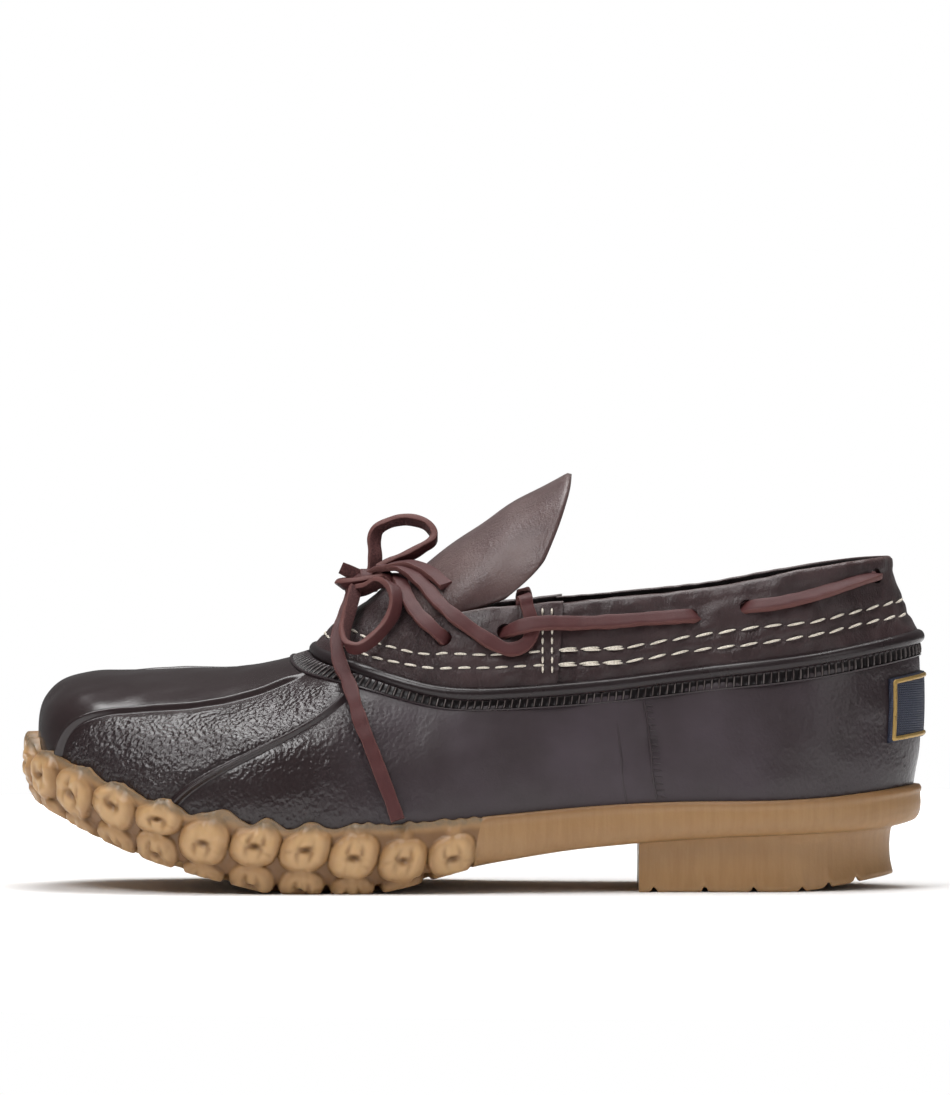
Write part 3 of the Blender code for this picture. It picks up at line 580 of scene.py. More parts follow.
@dataclass
class Graph:
    """A material's nodes, with short calls for the ones that the finishes share."""

    name: str

    def __post_init__(self) -> None:
        """Makes the material and finds its shader."""
        self.material = bpy.data.materials.new(self.name)
        self.material.use_nodes = True
        self.tree = self.material.node_tree
        self.shader = self.tree.nodes["Principled BSDF"]
        self.place = self.tree.nodes.new("ShaderNodeTexCoord").outputs["Object"]

    def node(self, kind: str, **settings: object) -> bpy.types.Node:
        """A new node with its own settings."""
        made = self.tree.nodes.new(kind)
        for key, value in settings.items():
            setattr(made, key, value)
        return made

    def feed(self, value: object, socket: bpy.types.NodeSocket) -> None:
        """Links a socket to another, or sets its number."""
        if isinstance(value, bpy.types.NodeSocket):
            self.tree.links.new(value, socket)
        else:
            socket.default_value = value

    def scaled(self, scale: Sequence[float]) -> bpy.types.NodeSocket:
        """Object coordinates stretched by a factor along each axis."""
        made = self.node("ShaderNodeMapping")
        self.feed(self.place, made.inputs["Vector"])
        made.inputs["Scale"].default_value = tuple(scale)
        return made.outputs["Vector"]

    def noise(
        self, scale: float, detail: float = 3.0, rough: float = 0.5, at: object = None
    ) -> bpy.types.NodeSocket:
        """Cloudy noise, with scale features a metre."""
        made = self.node("ShaderNodeTexNoise")
        self.feed(self.place if at is None else at, made.inputs["Vector"])
        made.inputs["Scale"].default_value = scale
        made.inputs["Detail"].default_value = detail
        made.inputs["Roughness"].default_value = rough
        return made.outputs["Fac"]

    def cells(self, scale: float, at: object = None) -> bpy.types.NodeSocket:
        """Distance to the nearest cell's middle, for grain and pebbles."""
        made = self.node("ShaderNodeTexVoronoi", feature="SMOOTH_F1")
        self.feed(self.place if at is None else at, made.inputs["Vector"])
        made.inputs["Scale"].default_value = scale
        return made.outputs["Distance"]

    def mark(self, name: str) -> bpy.types.NodeSocket:
        """The value of one of the mesh's own attributes."""
        return self.node("ShaderNodeAttribute", attribute_name=name).outputs["Fac"]

    def calc(self, operation: str, a: object, b: object) -> bpy.types.NodeSocket:
        """Two values added (ADD) or multiplied (MULTIPLY)."""
        made = self.node("ShaderNodeMath", operation=operation)
        self.feed(a, made.inputs[0])
        self.feed(b, made.inputs[1])
        return made.outputs[0]

    def span(
        self, value: object, low: float, high: float, to_low: float = 0.0, to_high: float = 1.0
    ) -> bpy.types.NodeSocket:
        """A value's span from low to high, moved to another span and cut off at its ends."""
        made = self.node("ShaderNodeMapRange")
        self.feed(value, made.inputs["Value"])
        for key, number in zip(
            ("From Min", "From Max", "To Min", "To Max"), (low, high, to_low, to_high)
        ):
            made.inputs[key].default_value = number
        return made.outputs["Result"]

    def mix(self, share: object, first: object, second: object) -> bpy.types.NodeSocket:
        """A colour between first (share 0) and second (share 1)."""
        made = self.node("ShaderNodeMix", data_type="RGBA")
        colours = [s for s in made.inputs if s.type == "RGBA"]
        self.feed(share, made.inputs[0])
        self.feed((*first, 1) if isinstance(first, tuple) else first, colours[0])
        self.feed((*second, 1) if isinstance(second, tuple) else second, colours[1])
        return next(s for s in made.outputs if s.type == "RGBA")

    def bump(
        self, height: object, distance: float, under: object = None
    ) -> bpy.types.NodeSocket:
        """A normal tilted by a height; distance is the height's own depth in metres."""
        made = self.node("ShaderNodeBump")
        self.feed(height, made.inputs["Height"])
        made.inputs["Strength"].default_value = 1.0
        made.inputs["Distance"].default_value = distance
        if under is not None:
            self.feed(under, made.inputs["Normal"])
        return made.outputs["Normal"]

    def finish(self, **sockets: object) -> bpy.types.Material:
        """Feeds the shader's sockets, named with _ for a space, and returns the material."""
        for key, value in sockets.items():
            self.feed(value, self.shader.inputs[key.replace("_", " ")])
        return self.material


@dataclass(frozen=True)
class RubberFinish:
    """Dark brown moulded rubber: glossy where it is grained, satin where it is plain."""

    colour: tuple[float, float, float] = (0.0200, 0.0120, 0.0125)
    bloom: tuple[float, float, float] = (0.042, 0.028, 0.036)

    def make(self, name: str = "brown_rubber") -> bpy.types.Material:
        """Grain from two sizes of cells, deep where grain is 1, with a faint grey bloom, painted
        shade in the rib valleys and a painted highlight on the rib crests.
        """
        g = Graph(name)
        grain = g.mark("grain")
        matt = g.mark("matt")
        cloud = g.noise(38, 4, 0.6)
        fine = g.noise(900, 3, 0.6)
        coarse = g.cells(820, g.scaled((1.0, 1.0, 0.85)))
        wide = g.noise(520, 3, 0.6)
        pebble = g.calc("ADD", g.calc("MULTIPLY", coarse, 0.8), wide)
        relief = g.calc("MULTIPLY", pebble, g.span(grain, 0, 1, 0.02, 1.0))
        first = g.bump(relief, 0.00058)
        normal = g.bump(fine, 0.00006, first)
        share = g.calc("MULTIPLY", g.span(cloud, 0.35, 0.7, 0.35, 1.0), matt)
        hollow = g.span(pebble, 0.55, 1.1, 0.0, 0.4)
        colour = g.mix(share, self.colour, self.bloom)
        colour = g.mix(g.calc("MULTIPLY", hollow, grain), colour, (0.024, 0.018, 0.020))
        # pit: near-black painted shade in the rib valleys; on the bead, where it lies evenly all
        # round, it is the bead's own darker tone
        colour = g.mix(g.mark("pit"), colour, (0.003, 0.0025, 0.0025))
        # Painted highlight: the rib crests are painted pale where the light would catch them
        colour = g.mix(g.mark("rubbed"), colour, (0.130, 0.110, 0.105))
        patchy = g.span(cloud, 0.3, 0.7, -0.03, 0.06)
        rough = g.calc("ADD", g.span(matt, 0, 1, 0.22, 0.46), patchy)
        return g.finish(
            Base_Color=colour,
            Roughness=rough,
            Normal=normal,
            Specular_IOR_Level=g.span(g.mark("pit"), 0, 1, 0.5, 0.12),
        )


@dataclass(frozen=True)
class GumFinish:
    """Tan gum rubber: painted shade in hollows, a painted highlight on high places, greyish as a
    thin film.
    """

    colour: tuple[float, float, float] = (0.345, 0.200, 0.088)
    # painted shade colour of the hollows
    deep: tuple[float, float, float] = (0.135, 0.060, 0.021)
    # pale colour of high places: a painted highlight on the lug tops, wear near the heel's tread
    # edge
    high: tuple[float, float, float] = (0.53, 0.335, 0.160)
    film: tuple[float, float, float] = (0.165, 0.122, 0.078)

    def make(self, name: str = "gum_rubber") -> bpy.types.Material:
        """Colour from the marks hollow (painted shade), high (painted highlight), film and streak,
        which shows upright streaks.
        """
        g = Graph(name)
        streak = g.noise(420, 3, 0.6, g.scaled((1.0, 1.0, 0.10)))
        cloud = g.noise(70, 4, 0.6)
        fleck = g.noise(650, 3, 0.65)
        base = g.mix(g.span(cloud, 0.3, 0.7, 0.0, 0.55), self.colour, (0.31, 0.165, 0.066))
        streaked = g.calc("MULTIPLY", g.span(streak, 0.35, 0.65, 0, 0.42), g.mark("streak"))
        base = g.mix(streaked, base, (0.25, 0.13, 0.05))
        # Painted highlight on the lug tops, and wear near the heel's tread edge
        base = g.mix(g.calc("MULTIPLY", g.mark("high"), 0.75), base, self.high)
        film = g.calc("MULTIPLY", g.mark("film"), g.span(g.noise(260, 4, 0.7), 0.25, 0.6, 0.35, 1))
        base = g.mix(film, base, self.film)
        # Painted shade: hollows, clefts and pits are painted dark brown
        base = g.mix(g.mark("hollow"), base, self.deep)
        height = g.calc("ADD", g.calc("MULTIPLY", streak, 0.5), g.calc("MULTIPLY", fleck, 0.6))
        normal = g.bump(height, 0.00016)
        rough = g.span(fleck, 0.3, 0.7, 0.36, 0.5)
        return g.finish(
            Base_Color=base,
            Roughness=rough,
            Normal=normal,
            Subsurface_Weight=0.12,
            Subsurface_Radius=(0.004, 0.002, 0.001),
            Subsurface_Scale=1.0,
            Specular_IOR_Level=0.45,
        )


@dataclass(frozen=True)
class LeatherFinish:
    """Smooth waxed leather: pores, soft creases where the mark crease is high, worn edges."""

    colour: tuple[float, float, float] = (0.019, 0.0066, 0.0074)
    worn: tuple[float, float, float] = (0.043, 0.019, 0.020)
    edge: tuple[float, float, float] = (0.075, 0.032, 0.027)
    rough: float = 0.38
    sheen: float = 0.04

    def make(self, name: str) -> bpy.types.Material:
        """Pores as fine cells, creases as stretched noise, colour in soft clouds."""
        g = Graph(name)
        cloud = g.noise(60, 5, 0.62)
        pores = g.cells(1500)
        fine = g.noise(2200, 2, 0.6)
        crease = g.noise(900, 4, 0.62, g.scaled((1.15, 0.9, 0.42)))
        folds = g.calc("MULTIPLY", g.span(crease, 0.35, 0.65), g.mark("crease"))
        colour = g.mix(g.span(cloud, 0.38, 0.72, 0.0, 0.8), self.colour, self.worn)
        colour = g.mix(g.calc("MULTIPLY", folds, 0.35), colour, self.worn)
        colour = g.mix(g.mark("edge"), colour, self.edge)
        colour = g.mix(g.mark("pinch"), colour, (0.014, 0.006, 0.007))
        first = g.bump(g.calc("ADD", g.calc("MULTIPLY", pores, 0.5), fine), 0.00009)
        normal = g.bump(folds, 0.0005, first)
        rough = g.calc("ADD", g.span(cloud, 0.3, 0.7, -0.05, 0.08), self.rough)
        return g.finish(
            Base_Color=colour,
            Roughness=rough,
            Normal=normal,
            Sheen_Weight=self.sheen,
            Sheen_Roughness=0.5,
            Specular_IOR_Level=0.5,
        )


@dataclass(frozen=True)
class FleshFinish:
    """The rough underside of leather, and matt lining: short fibres, no gloss."""

    colour: tuple[float, float, float] = (0.016, 0.012, 0.012)
    fibre: tuple[float, float, float] = (0.038, 0.028, 0.028)

    def make(self, name: str) -> bpy.types.Material:
        """Fibres from two stretched noises."""
        g = Graph(name)
        fibre = g.noise(1300, 5, 0.75, g.scaled((1.0, 1.0, 0.5)))
        colour = g.mix(g.span(fibre, 0.4, 0.68), self.colour, self.fibre)
        return g.finish(
            Base_Color=colour, Roughness=0.85, Normal=g.bump(fibre, 0.0003), Sheen_Weight=0.1
        )


@dataclass(frozen=True)
class RawhideFinish:
    """Cut lace: a smooth red-brown grain face, a fibrous flesh face and paler cut edges."""

    grain: tuple[float, float, float] = (0.068, 0.0180, 0.0180)
    flesh: tuple[float, float, float] = (0.042, 0.0130, 0.0135)
    edge: tuple[float, float, float] = (0.165, 0.072, 0.063)

    def make(self, name: str = "rawhide") -> bpy.types.Material:
        """The mark flesh picks the rough face, the mark edge the cut edge."""
        g = Graph(name)
        flesh = g.mark("flesh")
        cloud = g.noise(150, 4, 0.6)
        fibre = g.noise(1500, 5, 0.75)
        colour = g.mix(g.span(cloud, 0.35, 0.7, 0, 0.5), self.grain, (0.046, 0.0135, 0.0140))
        rough_face = g.mix(g.span(fibre, 0.4, 0.66), self.flesh, (0.095, 0.034, 0.032))
        colour = g.mix(flesh, colour, rough_face)
        colour = g.mix(g.calc("MULTIPLY", g.mark("edge"), 0.55), colour, self.edge)
        depth = g.calc("MULTIPLY", fibre, g.span(flesh, 0, 1, 0.25, 1.0))
        return g.finish(
            Base_Color=colour,
            Roughness=g.span(flesh, 0, 1, 0.58, 0.85),
            Normal=g.bump(depth, 0.0003),
            Specular_IOR_Level=0.28,
        )


@dataclass(frozen=True)
class ThreadFinish:
    """Waxed cream thread, with the twist of its strands."""

    colour: tuple[float, float, float] = (0.78, 0.72, 0.62)

    def make(self, name: str = "cream_thread") -> bpy.types.Material:
        """Strands from a wave across the thread's own run."""
        g = Graph(name)
        strand = g.noise(2600, 2, 0.5, g.scaled((1.0, 1.0, 0.6)))
        colour = g.mix(g.span(strand, 0.35, 0.6), (0.50, 0.44, 0.36), self.colour)
        return g.finish(Base_Color=colour, Roughness=0.6, Normal=g.bump(strand, 0.00025))


@dataclass(frozen=True)
class WovenFinish:
    """The label's bare navy field: a close plain weave."""

    colour: tuple[float, float, float] = (0.010, 0.013, 0.030)
    light: tuple[float, float, float] = (0.024, 0.030, 0.060)

    def make(self, name: str = "navy_patch") -> bpy.types.Material:
        """Threads as two crossed sine bands, along y and along z."""
        g = Graph(name)
        across = g.node("ShaderNodeTexWave", bands_direction="Y")
        upright = g.node("ShaderNodeTexWave", bands_direction="Z")
        for wave in (across, upright):
            g.feed(g.place, wave.inputs["Vector"])
            wave.inputs["Scale"].default_value = 420
            wave.inputs["Distortion"].default_value = 0.6
        weave = g.calc("MULTIPLY", across.outputs["Fac"], upright.outputs["Fac"])
        colour = g.mix(g.span(weave, 0.1, 0.8), self.colour, self.light)
        return g.finish(Base_Color=colour, Roughness=0.6, Normal=g.bump(weave, 0.0002))


@dataclass(frozen=True)
class GiltFinish:
    """The label's raised gold edge: worn metallic ink."""

    colour: tuple[float, float, float] = (0.42, 0.27, 0.085)

    def make(self, name: str = "gilt_edge") -> bpy.types.Material:
        """Gold broken by darker wear from noise."""
        g = Graph(name)
        wear = g.noise(900, 4, 0.7)
        colour = g.mix(g.span(wear, 0.55, 0.75), self.colour, (0.12, 0.07, 0.03))
        return g.finish(
            Base_Color=colour, Roughness=0.42, Metallic=0.6, Normal=g.bump(wear, 0.0001)
        )


@dataclass(frozen=True)
class FloorFinish:
    """The plain pale floor, which glows softly towards its rim to meet the pale dome."""

    colour: tuple[float, float, float] = (0.90, 0.90, 0.90)

    def make(self, name: str = "pale_floor") -> bpy.types.Material:
        """Flat pale paint; its own light grows from none at 0.25 m to full at 0.68 m."""
        g = Graph(name)
        away = g.node("ShaderNodeVectorMath", operation="LENGTH")
        g.feed(g.place, away.inputs[0])
        glow = g.span(away.outputs["Value"], 0.25, 0.68)
        return g.finish(
            Base_Color=(*self.colour, 1),
            Roughness=0.9,
            Emission_Color=(1, 1, 1, 1),
            Emission_Strength=glow,
        )


@dataclass(frozen=True)
class DomeFinish:
    """The pale surroundings that the camera sees."""

    def make(self, name: str = "pale_dome") -> bpy.types.Material:
        """Even white light."""
        g = Graph(name)
        return g.finish(
            Base_Color=(0, 0, 0, 1),
            Specular_IOR_Level=0.0,
            Emission_Color=(1, 1, 1, 1),
            Emission_Strength=1.0,
        )


# The rubber shell


@dataclass
class RubberShell:
    """The moulded rubber foot with its ridges, ribbed band, bead and side seams."""

    wall: float = 0.0026
    flange: float = 0.0013
    flange_height: float = 0.0085
    flange_foot: float = 0.0006
    band_height: float = 0.0037
    band_step: float = 0.0006
    band_depth: float = 0.0008
    ridge_height: float = 0.0017
    ridge_half_width: float = 0.0023
    panel_ridge: float = 1 / 16
    diagonal_ridge: float = 2 / 16
    rib_pitch: float = 0.00245
    vamp_leather: float = 0.0021
    # The side seams' lines in the side view, in millimetres, and the ticks behind the second
    first_seam: tuple[tuple[float, float], ...] = ((195.0, 61.1), (197.5, 44.2), (200.0, 27.4))
    second_seam: tuple[tuple[float, float], ...] = ((205.0, 62.4), (207.2, 46.3), (209.3, 30.4))
    ticks: int = 15

    def columns(self, count: int = 760) -> Array:
        """Shares of the loop, three times as close on the ridges."""

        def density(u: Array) -> Array:
            """Closeness of the columns at u."""
            half = from_toe(u)
            on = bell(half - self.panel_ridge, 0.008) + bell(half - self.diagonal_ridge, 0.008)
            return 1 + 2.2 * on

        return spread(density, 0.0, 1.0, count + 1)[:-1]

    def relief(self, u: Array, v: Array) -> Array:
        """Height of the moulded ridges, a raised cosine across each, and a little unevenness."""
        step = FORM.step
        pace = np.linalg.norm(FORM.shell(u + step, v) - FORM.shell(u - step, v), axis=-1)
        half = from_toe(u)
        height = np.zeros(np.broadcast(u, v).shape)
        for ridge, wide in ((self.panel_ridge, 1.0), (self.diagonal_ridge, 0.8)):
            away = np.abs(half - ridge) * pace / (2 * step) / (self.ridge_half_width * wide)
            height += np.where(away < 1, 0.5 + 0.5 * np.cos(math.pi * np.minimum(away, 1)), 0)
        fade = 1 - smoothstep(v, 0.90, 0.955)
        points = FORM.shell(u, v)
        uneven = 0.00022 * waves(points, 0.03, 3) + 0.0001 * waves(points, 0.012, 4)
        return self.ridge_height * height**0.8 * fade + uneven * smoothstep(v, 0.1, 0.3) * fade

    def body(self, rubber: bpy.types.Material, lining: bpy.types.Material) -> bpy.types.Object:
        """The shell's outer wall with its ridges, and its inner wall and flange as the lining."""
        u = self.columns()
        length = FORM.meridian(FORM.shell, u)
        top = 1 - (FORM.bead + self.band_height * 0.6) / length
        shares = np.linspace(0, 1, 84)[:, None]
        v = shares * top[None, :]
        outer = FORM.lifted(FORM.shell, u[None, :], v, self.relief(u[None, :], v))
        half = from_toe(u)[None, :]
        toe_side = smoothstep(half, 0.066, 0.072)
        x = outer[..., 0]
        coarse = toe_side * (1 - smoothstep(half, 0.118, 0.13))
        fine = 0.42 * smoothstep(half, 0.12, 0.13) * (1 - smoothstep(x, 0.105, 0.150))
        heel = 0.30 * smoothstep(x, 0.215, 0.262)
        grain = np.maximum(np.maximum(coarse, fine), heel) * (1 - smoothstep(shares, 0.93, 0.97))
        matt = smoothstep(x, 0.085, 0.145) * (1 - 0.55 * smoothstep(x, 0.225, 0.275))
        ridge = bell(half - self.panel_ridge, 0.004) + bell(half - self.diagonal_ridge, 0.004)
        grain = grain * (1 - np.clip(ridge, 0, 1))
        flange_share = np.minimum(self.flange_height / FORM.meridian(FORM.leather, u), 0.6)
        behind = -(self.vamp_leather + 1.5 * FORM.gap)
        low, high = 0 * u, flange_share
        inside = [
            FORM.lifted(FORM.leather, u, low, behind) - UP * self.flange_foot,
            FORM.lifted(FORM.leather, u, high, behind),
            FORM.lifted(FORM.leather, u, high, behind - self.flange),
            FORM.lifted(FORM.leather, u, low, behind - self.flange),
        ]
        for share in np.linspace(0.86, 0.0, 12):
            inside.append(FORM.lifted(FORM.shell, u, np.full(len(u), share), -self.wall))
        inside[-1][:, 2] = outer[0][:, 2]
        part = MeshPart("shell_body")
        zero = np.zeros((len(inside), len(u)))
        part.add_grid(
            np.concatenate([outer, np.array(inside)]),
            close_rows=True,
            close_columns=True,
            slot=np.repeat([0, 1], [len(outer), len(inside)]),
            grain=np.concatenate([np.broadcast_to(grain, outer.shape[:2]), zero]),
            matt=np.concatenate([matt, zero]),
        )
        return part.make([rubber, lining], 60)

    def ribs(self, rubber: bpy.types.Material) -> bpy.types.Object:
        """The ribbed band: narrow upright ribs a pitch apart over a thin lower lip."""
        u = np.arange(2600) / 2600
        length = FORM.meridian(FORM.shell, u)
        middle = FORM.shell(u, 1 - (FORM.bead + 0.5 * self.band_height) / length)
        run = run_lengths(np.concatenate([middle, middle[:1]]))
        pitch = run[-1] / round(run[-1] / self.rib_pitch)
        phase = (run[:-1] / pitch + 0.5) % 1 - 0.5
        rib = bell(phase, 0.13)
        half = from_toe(u)
        strong = 0.45 + 0.55 * smoothstep(half, 0.02, 0.12)
        profile = (
            # share of the band from its lower edge, lift of the plain band, lift of a rib
            (-0.16, -0.0002, 0.0),
            (-0.12, 0.0004, 0.0),
            (-0.02, 0.00055, 0.0),
            (0.04, 0.00015, 0.0),
            (0.12, -0.0001, 0.00080),
            (0.50, -0.0001, 0.00095),
            (0.84, -0.0001, 0.00085),
            (1.00, 0.0001, 0.0004),
            (1.12, 0.0002, 0.0),
        )

        def row(share: float, lift: Array | float) -> Array:
            """One level row of the band, at a share of its height."""
            v = 1 - (FORM.bead + self.band_height * (1 - share)) / length
            return FORM.lifted(FORM.shell, u, v, lift)

        rows = [
            row(share, self.band_step * 0.3 + plain + high * rib * strong)
            for share, plain, high in profile
        ]
        rows = np.array(rows + [row(share, -self.band_depth) for share in (1.1, 0.5, -0.1)])
        part = MeshPart("shell_ribs")
        # Painted shade: the valleys between the ribs are painted near black
        painted_valley_shade = np.zeros(rows.shape[:2])
        painted_valley_shade[3:7] = 1 - smoothstep(rib, 0.25, 0.75)
        # crest paints a highlight on the ribs' tops
        crest = np.zeros(rows.shape[:2])
        crest[4:7] = smoothstep(rib, 0.55, 0.95) * strong
        part.add_grid(rows, True, True, matt=0.3, pit=0.85 * painted_valley_shade, rubbed=crest)
        return part.make([rubber], 50)

    def rim(self, rubber: bpy.types.Material) -> bpy.types.Object:
        """The bead: a round rod carried along the rim, a little uneven."""
        u = np.arange(900) / 900
        rim, out = FORM.line("rim", u), FORM.outward("rim", u)
        turn = circle(20)[:, None, None]
        radius = FORM.bead * (1 + 0.02 * waves(rim, 0.02, 8))[None, :, None]
        rows = rim[None] + radius * (np.cos(turn) * out[None] + np.sin(turn) * UP)
        part = MeshPart("shell_bead")
        part.add_grid(rows, True, True, matt=0.25, pit=0.35)
        return part.make([rubber], 60)

    def seams(self, rubber: bpy.types.Material) -> bpy.types.Object:
        """Two thin moulded seam lines on each side, with a ladder of short ticks behind the second.

        Each line is a low strip: a half-round section carried along a line on the shell.
        """
        part = MeshPart("shell_seams")
        (top_x, top_z), (low_x, low_z) = self.second_seam[0], self.second_seam[-1]
        for side in Side:
            for line, lift in ((self.first_seam, 0.00025), (self.second_seam, 0.0003)):
                self.strip(part, line, side, 0.00045, lift)
            for k in range(self.ticks):
                share = (k + 0.4) / self.ticks
                x = top_x + (low_x - top_x) * share
                z = top_z + (low_z - top_z) * share
                tick = ((x, z), (x + 1.4, z - 0.1), (x + 2.7, z - 0.3))
                self.strip(part, tick, side, 0.0003, 0.00022)
        return part.make([rubber], 60)

    def strip(
        self,
        part: MeshPart,
        line: Sequence[tuple[float, float]],
        side: Side,
        half: float,
        lift: float,
    ) -> None:
        """Adds a low half-round strip along points of the side view.

        Args:
            part: the mesh to add to.
            line: x and z of the points, in millimetres.
            side: the side of the foot.
            half: half the strip's width.
            lift: the strip's height.
        """
        shares = np.array([FORM.find(FORM.shell, x * MM, z * MM, side) for x, z in line])
        t = np.linspace(0, 1, 9)
        u = np.interp(t, np.linspace(0, 1, len(line)), shares[:, 0])
        v = np.interp(t, np.linspace(0, 1, len(line)), shares[:, 1])
        path = FORM.shell(u, v)
        along = unit(np.gradient(path, axis=0))
        normal = FORM.normal(FORM.shell, u, v)
        across = unit(np.cross(along, normal))
        section = ((-1.0, -0.6), (-0.7, 0.6), (0.0, 1.0), (0.7, 0.6), (1.0, -0.6), (0.0, -0.9))
        rows = np.array([path + across * half * a + normal * lift * b for a, b in section])
        n = part.add_grid(rows, True, matt=0.6)
        part.add_cap(n[:, 0])
        part.add_cap(n[:, -1])

    def build(self, rubber: bpy.types.Material, lining: bpy.types.Material) -> None:
        """Makes the shell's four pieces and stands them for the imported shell."""
        body = self.body(rubber, lining)
        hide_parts("rubber_shell")
        for piece in (body, self.ribs(rubber), self.rim(rubber), self.seams(rubber)):
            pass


# The gum sole


@dataclass(frozen=True)
class Lug:
    """One link of the chain tread, and how its cuts are made.

    drop is the distance from the gum's edge down to its middle, along and upright are its radii,
    turn is its angle in its place in radians, above and below are the depths of the clefts in its
    two halves, and lean is how far the clefts lean to one side and which side is folded. The cuts
    are shares of the link's height, and most is the deepest.
    """

    drop: float
    along: float
    upright: float
    turn: float
    above: float
    below: float
    lean: float
    cleft_cut: float = 0.30
    pit_cut: float = 0.60
    fold_cut: float = 0.12
    cleft_shade: float = 0.10
    pit_shade: float = 0.62
    most: float = 0.8

    def pad(self, a: Array, b: Array) -> tuple[Array, Array]:
        """A pillow (1 - r^4)^0.5, with a small pit and short bowed clefts.

        Args:
            a: distance along the chain from the link's middle.
            b: distance down from the link's middle.

        Returns:
            The relief, 0 to 1, and how deep the place lies in a cut, 0 to 1, which the gum paints
            as shade.
        """
        c, s = math.cos(self.turn), math.sin(self.turn)
        p, q = (a * c + b * s) / self.along, (b * c - a * s) / self.upright
        r = (np.abs(p) ** 2.5 + np.abs(q) ** 2.5) ** 0.4
        pillow = np.sqrt(np.clip(1 - r**4, 0, 1))
        lean = self.lean
        bowed = p - 0.25 * lean * q
        post = 0.30 - 0.30 * q**2 + 0.05 * lean
        deep = smoothstep(-q, 0.02, 0.16) * self.above + smoothstep(q, 0.02, 0.16) * self.below
        ends = 1 - smoothstep(np.abs(q), 0.20, 0.72)
        cleft = bell(np.abs(bowed) - post, 0.10) * ends * deep
        pit = bell(q - 0.10 * lean, 0.13) * bell(bowed, 0.26)
        fold = bell(q - 0.9 * p * lean - 0.35 * lean, 0.08) * smoothstep(r, 0.35, 0.6)
        fold = fold * (p * lean > 0)
        cut = self.cleft_cut * cleft + self.pit_cut * pit + self.fold_cut * fold
        shade = np.clip(self.cleft_shade * cleft + self.pit_shade * pit, 0, self.most)
        return pillow * (1 - np.clip(cut, 0, self.most)), shade * (pillow > 0)


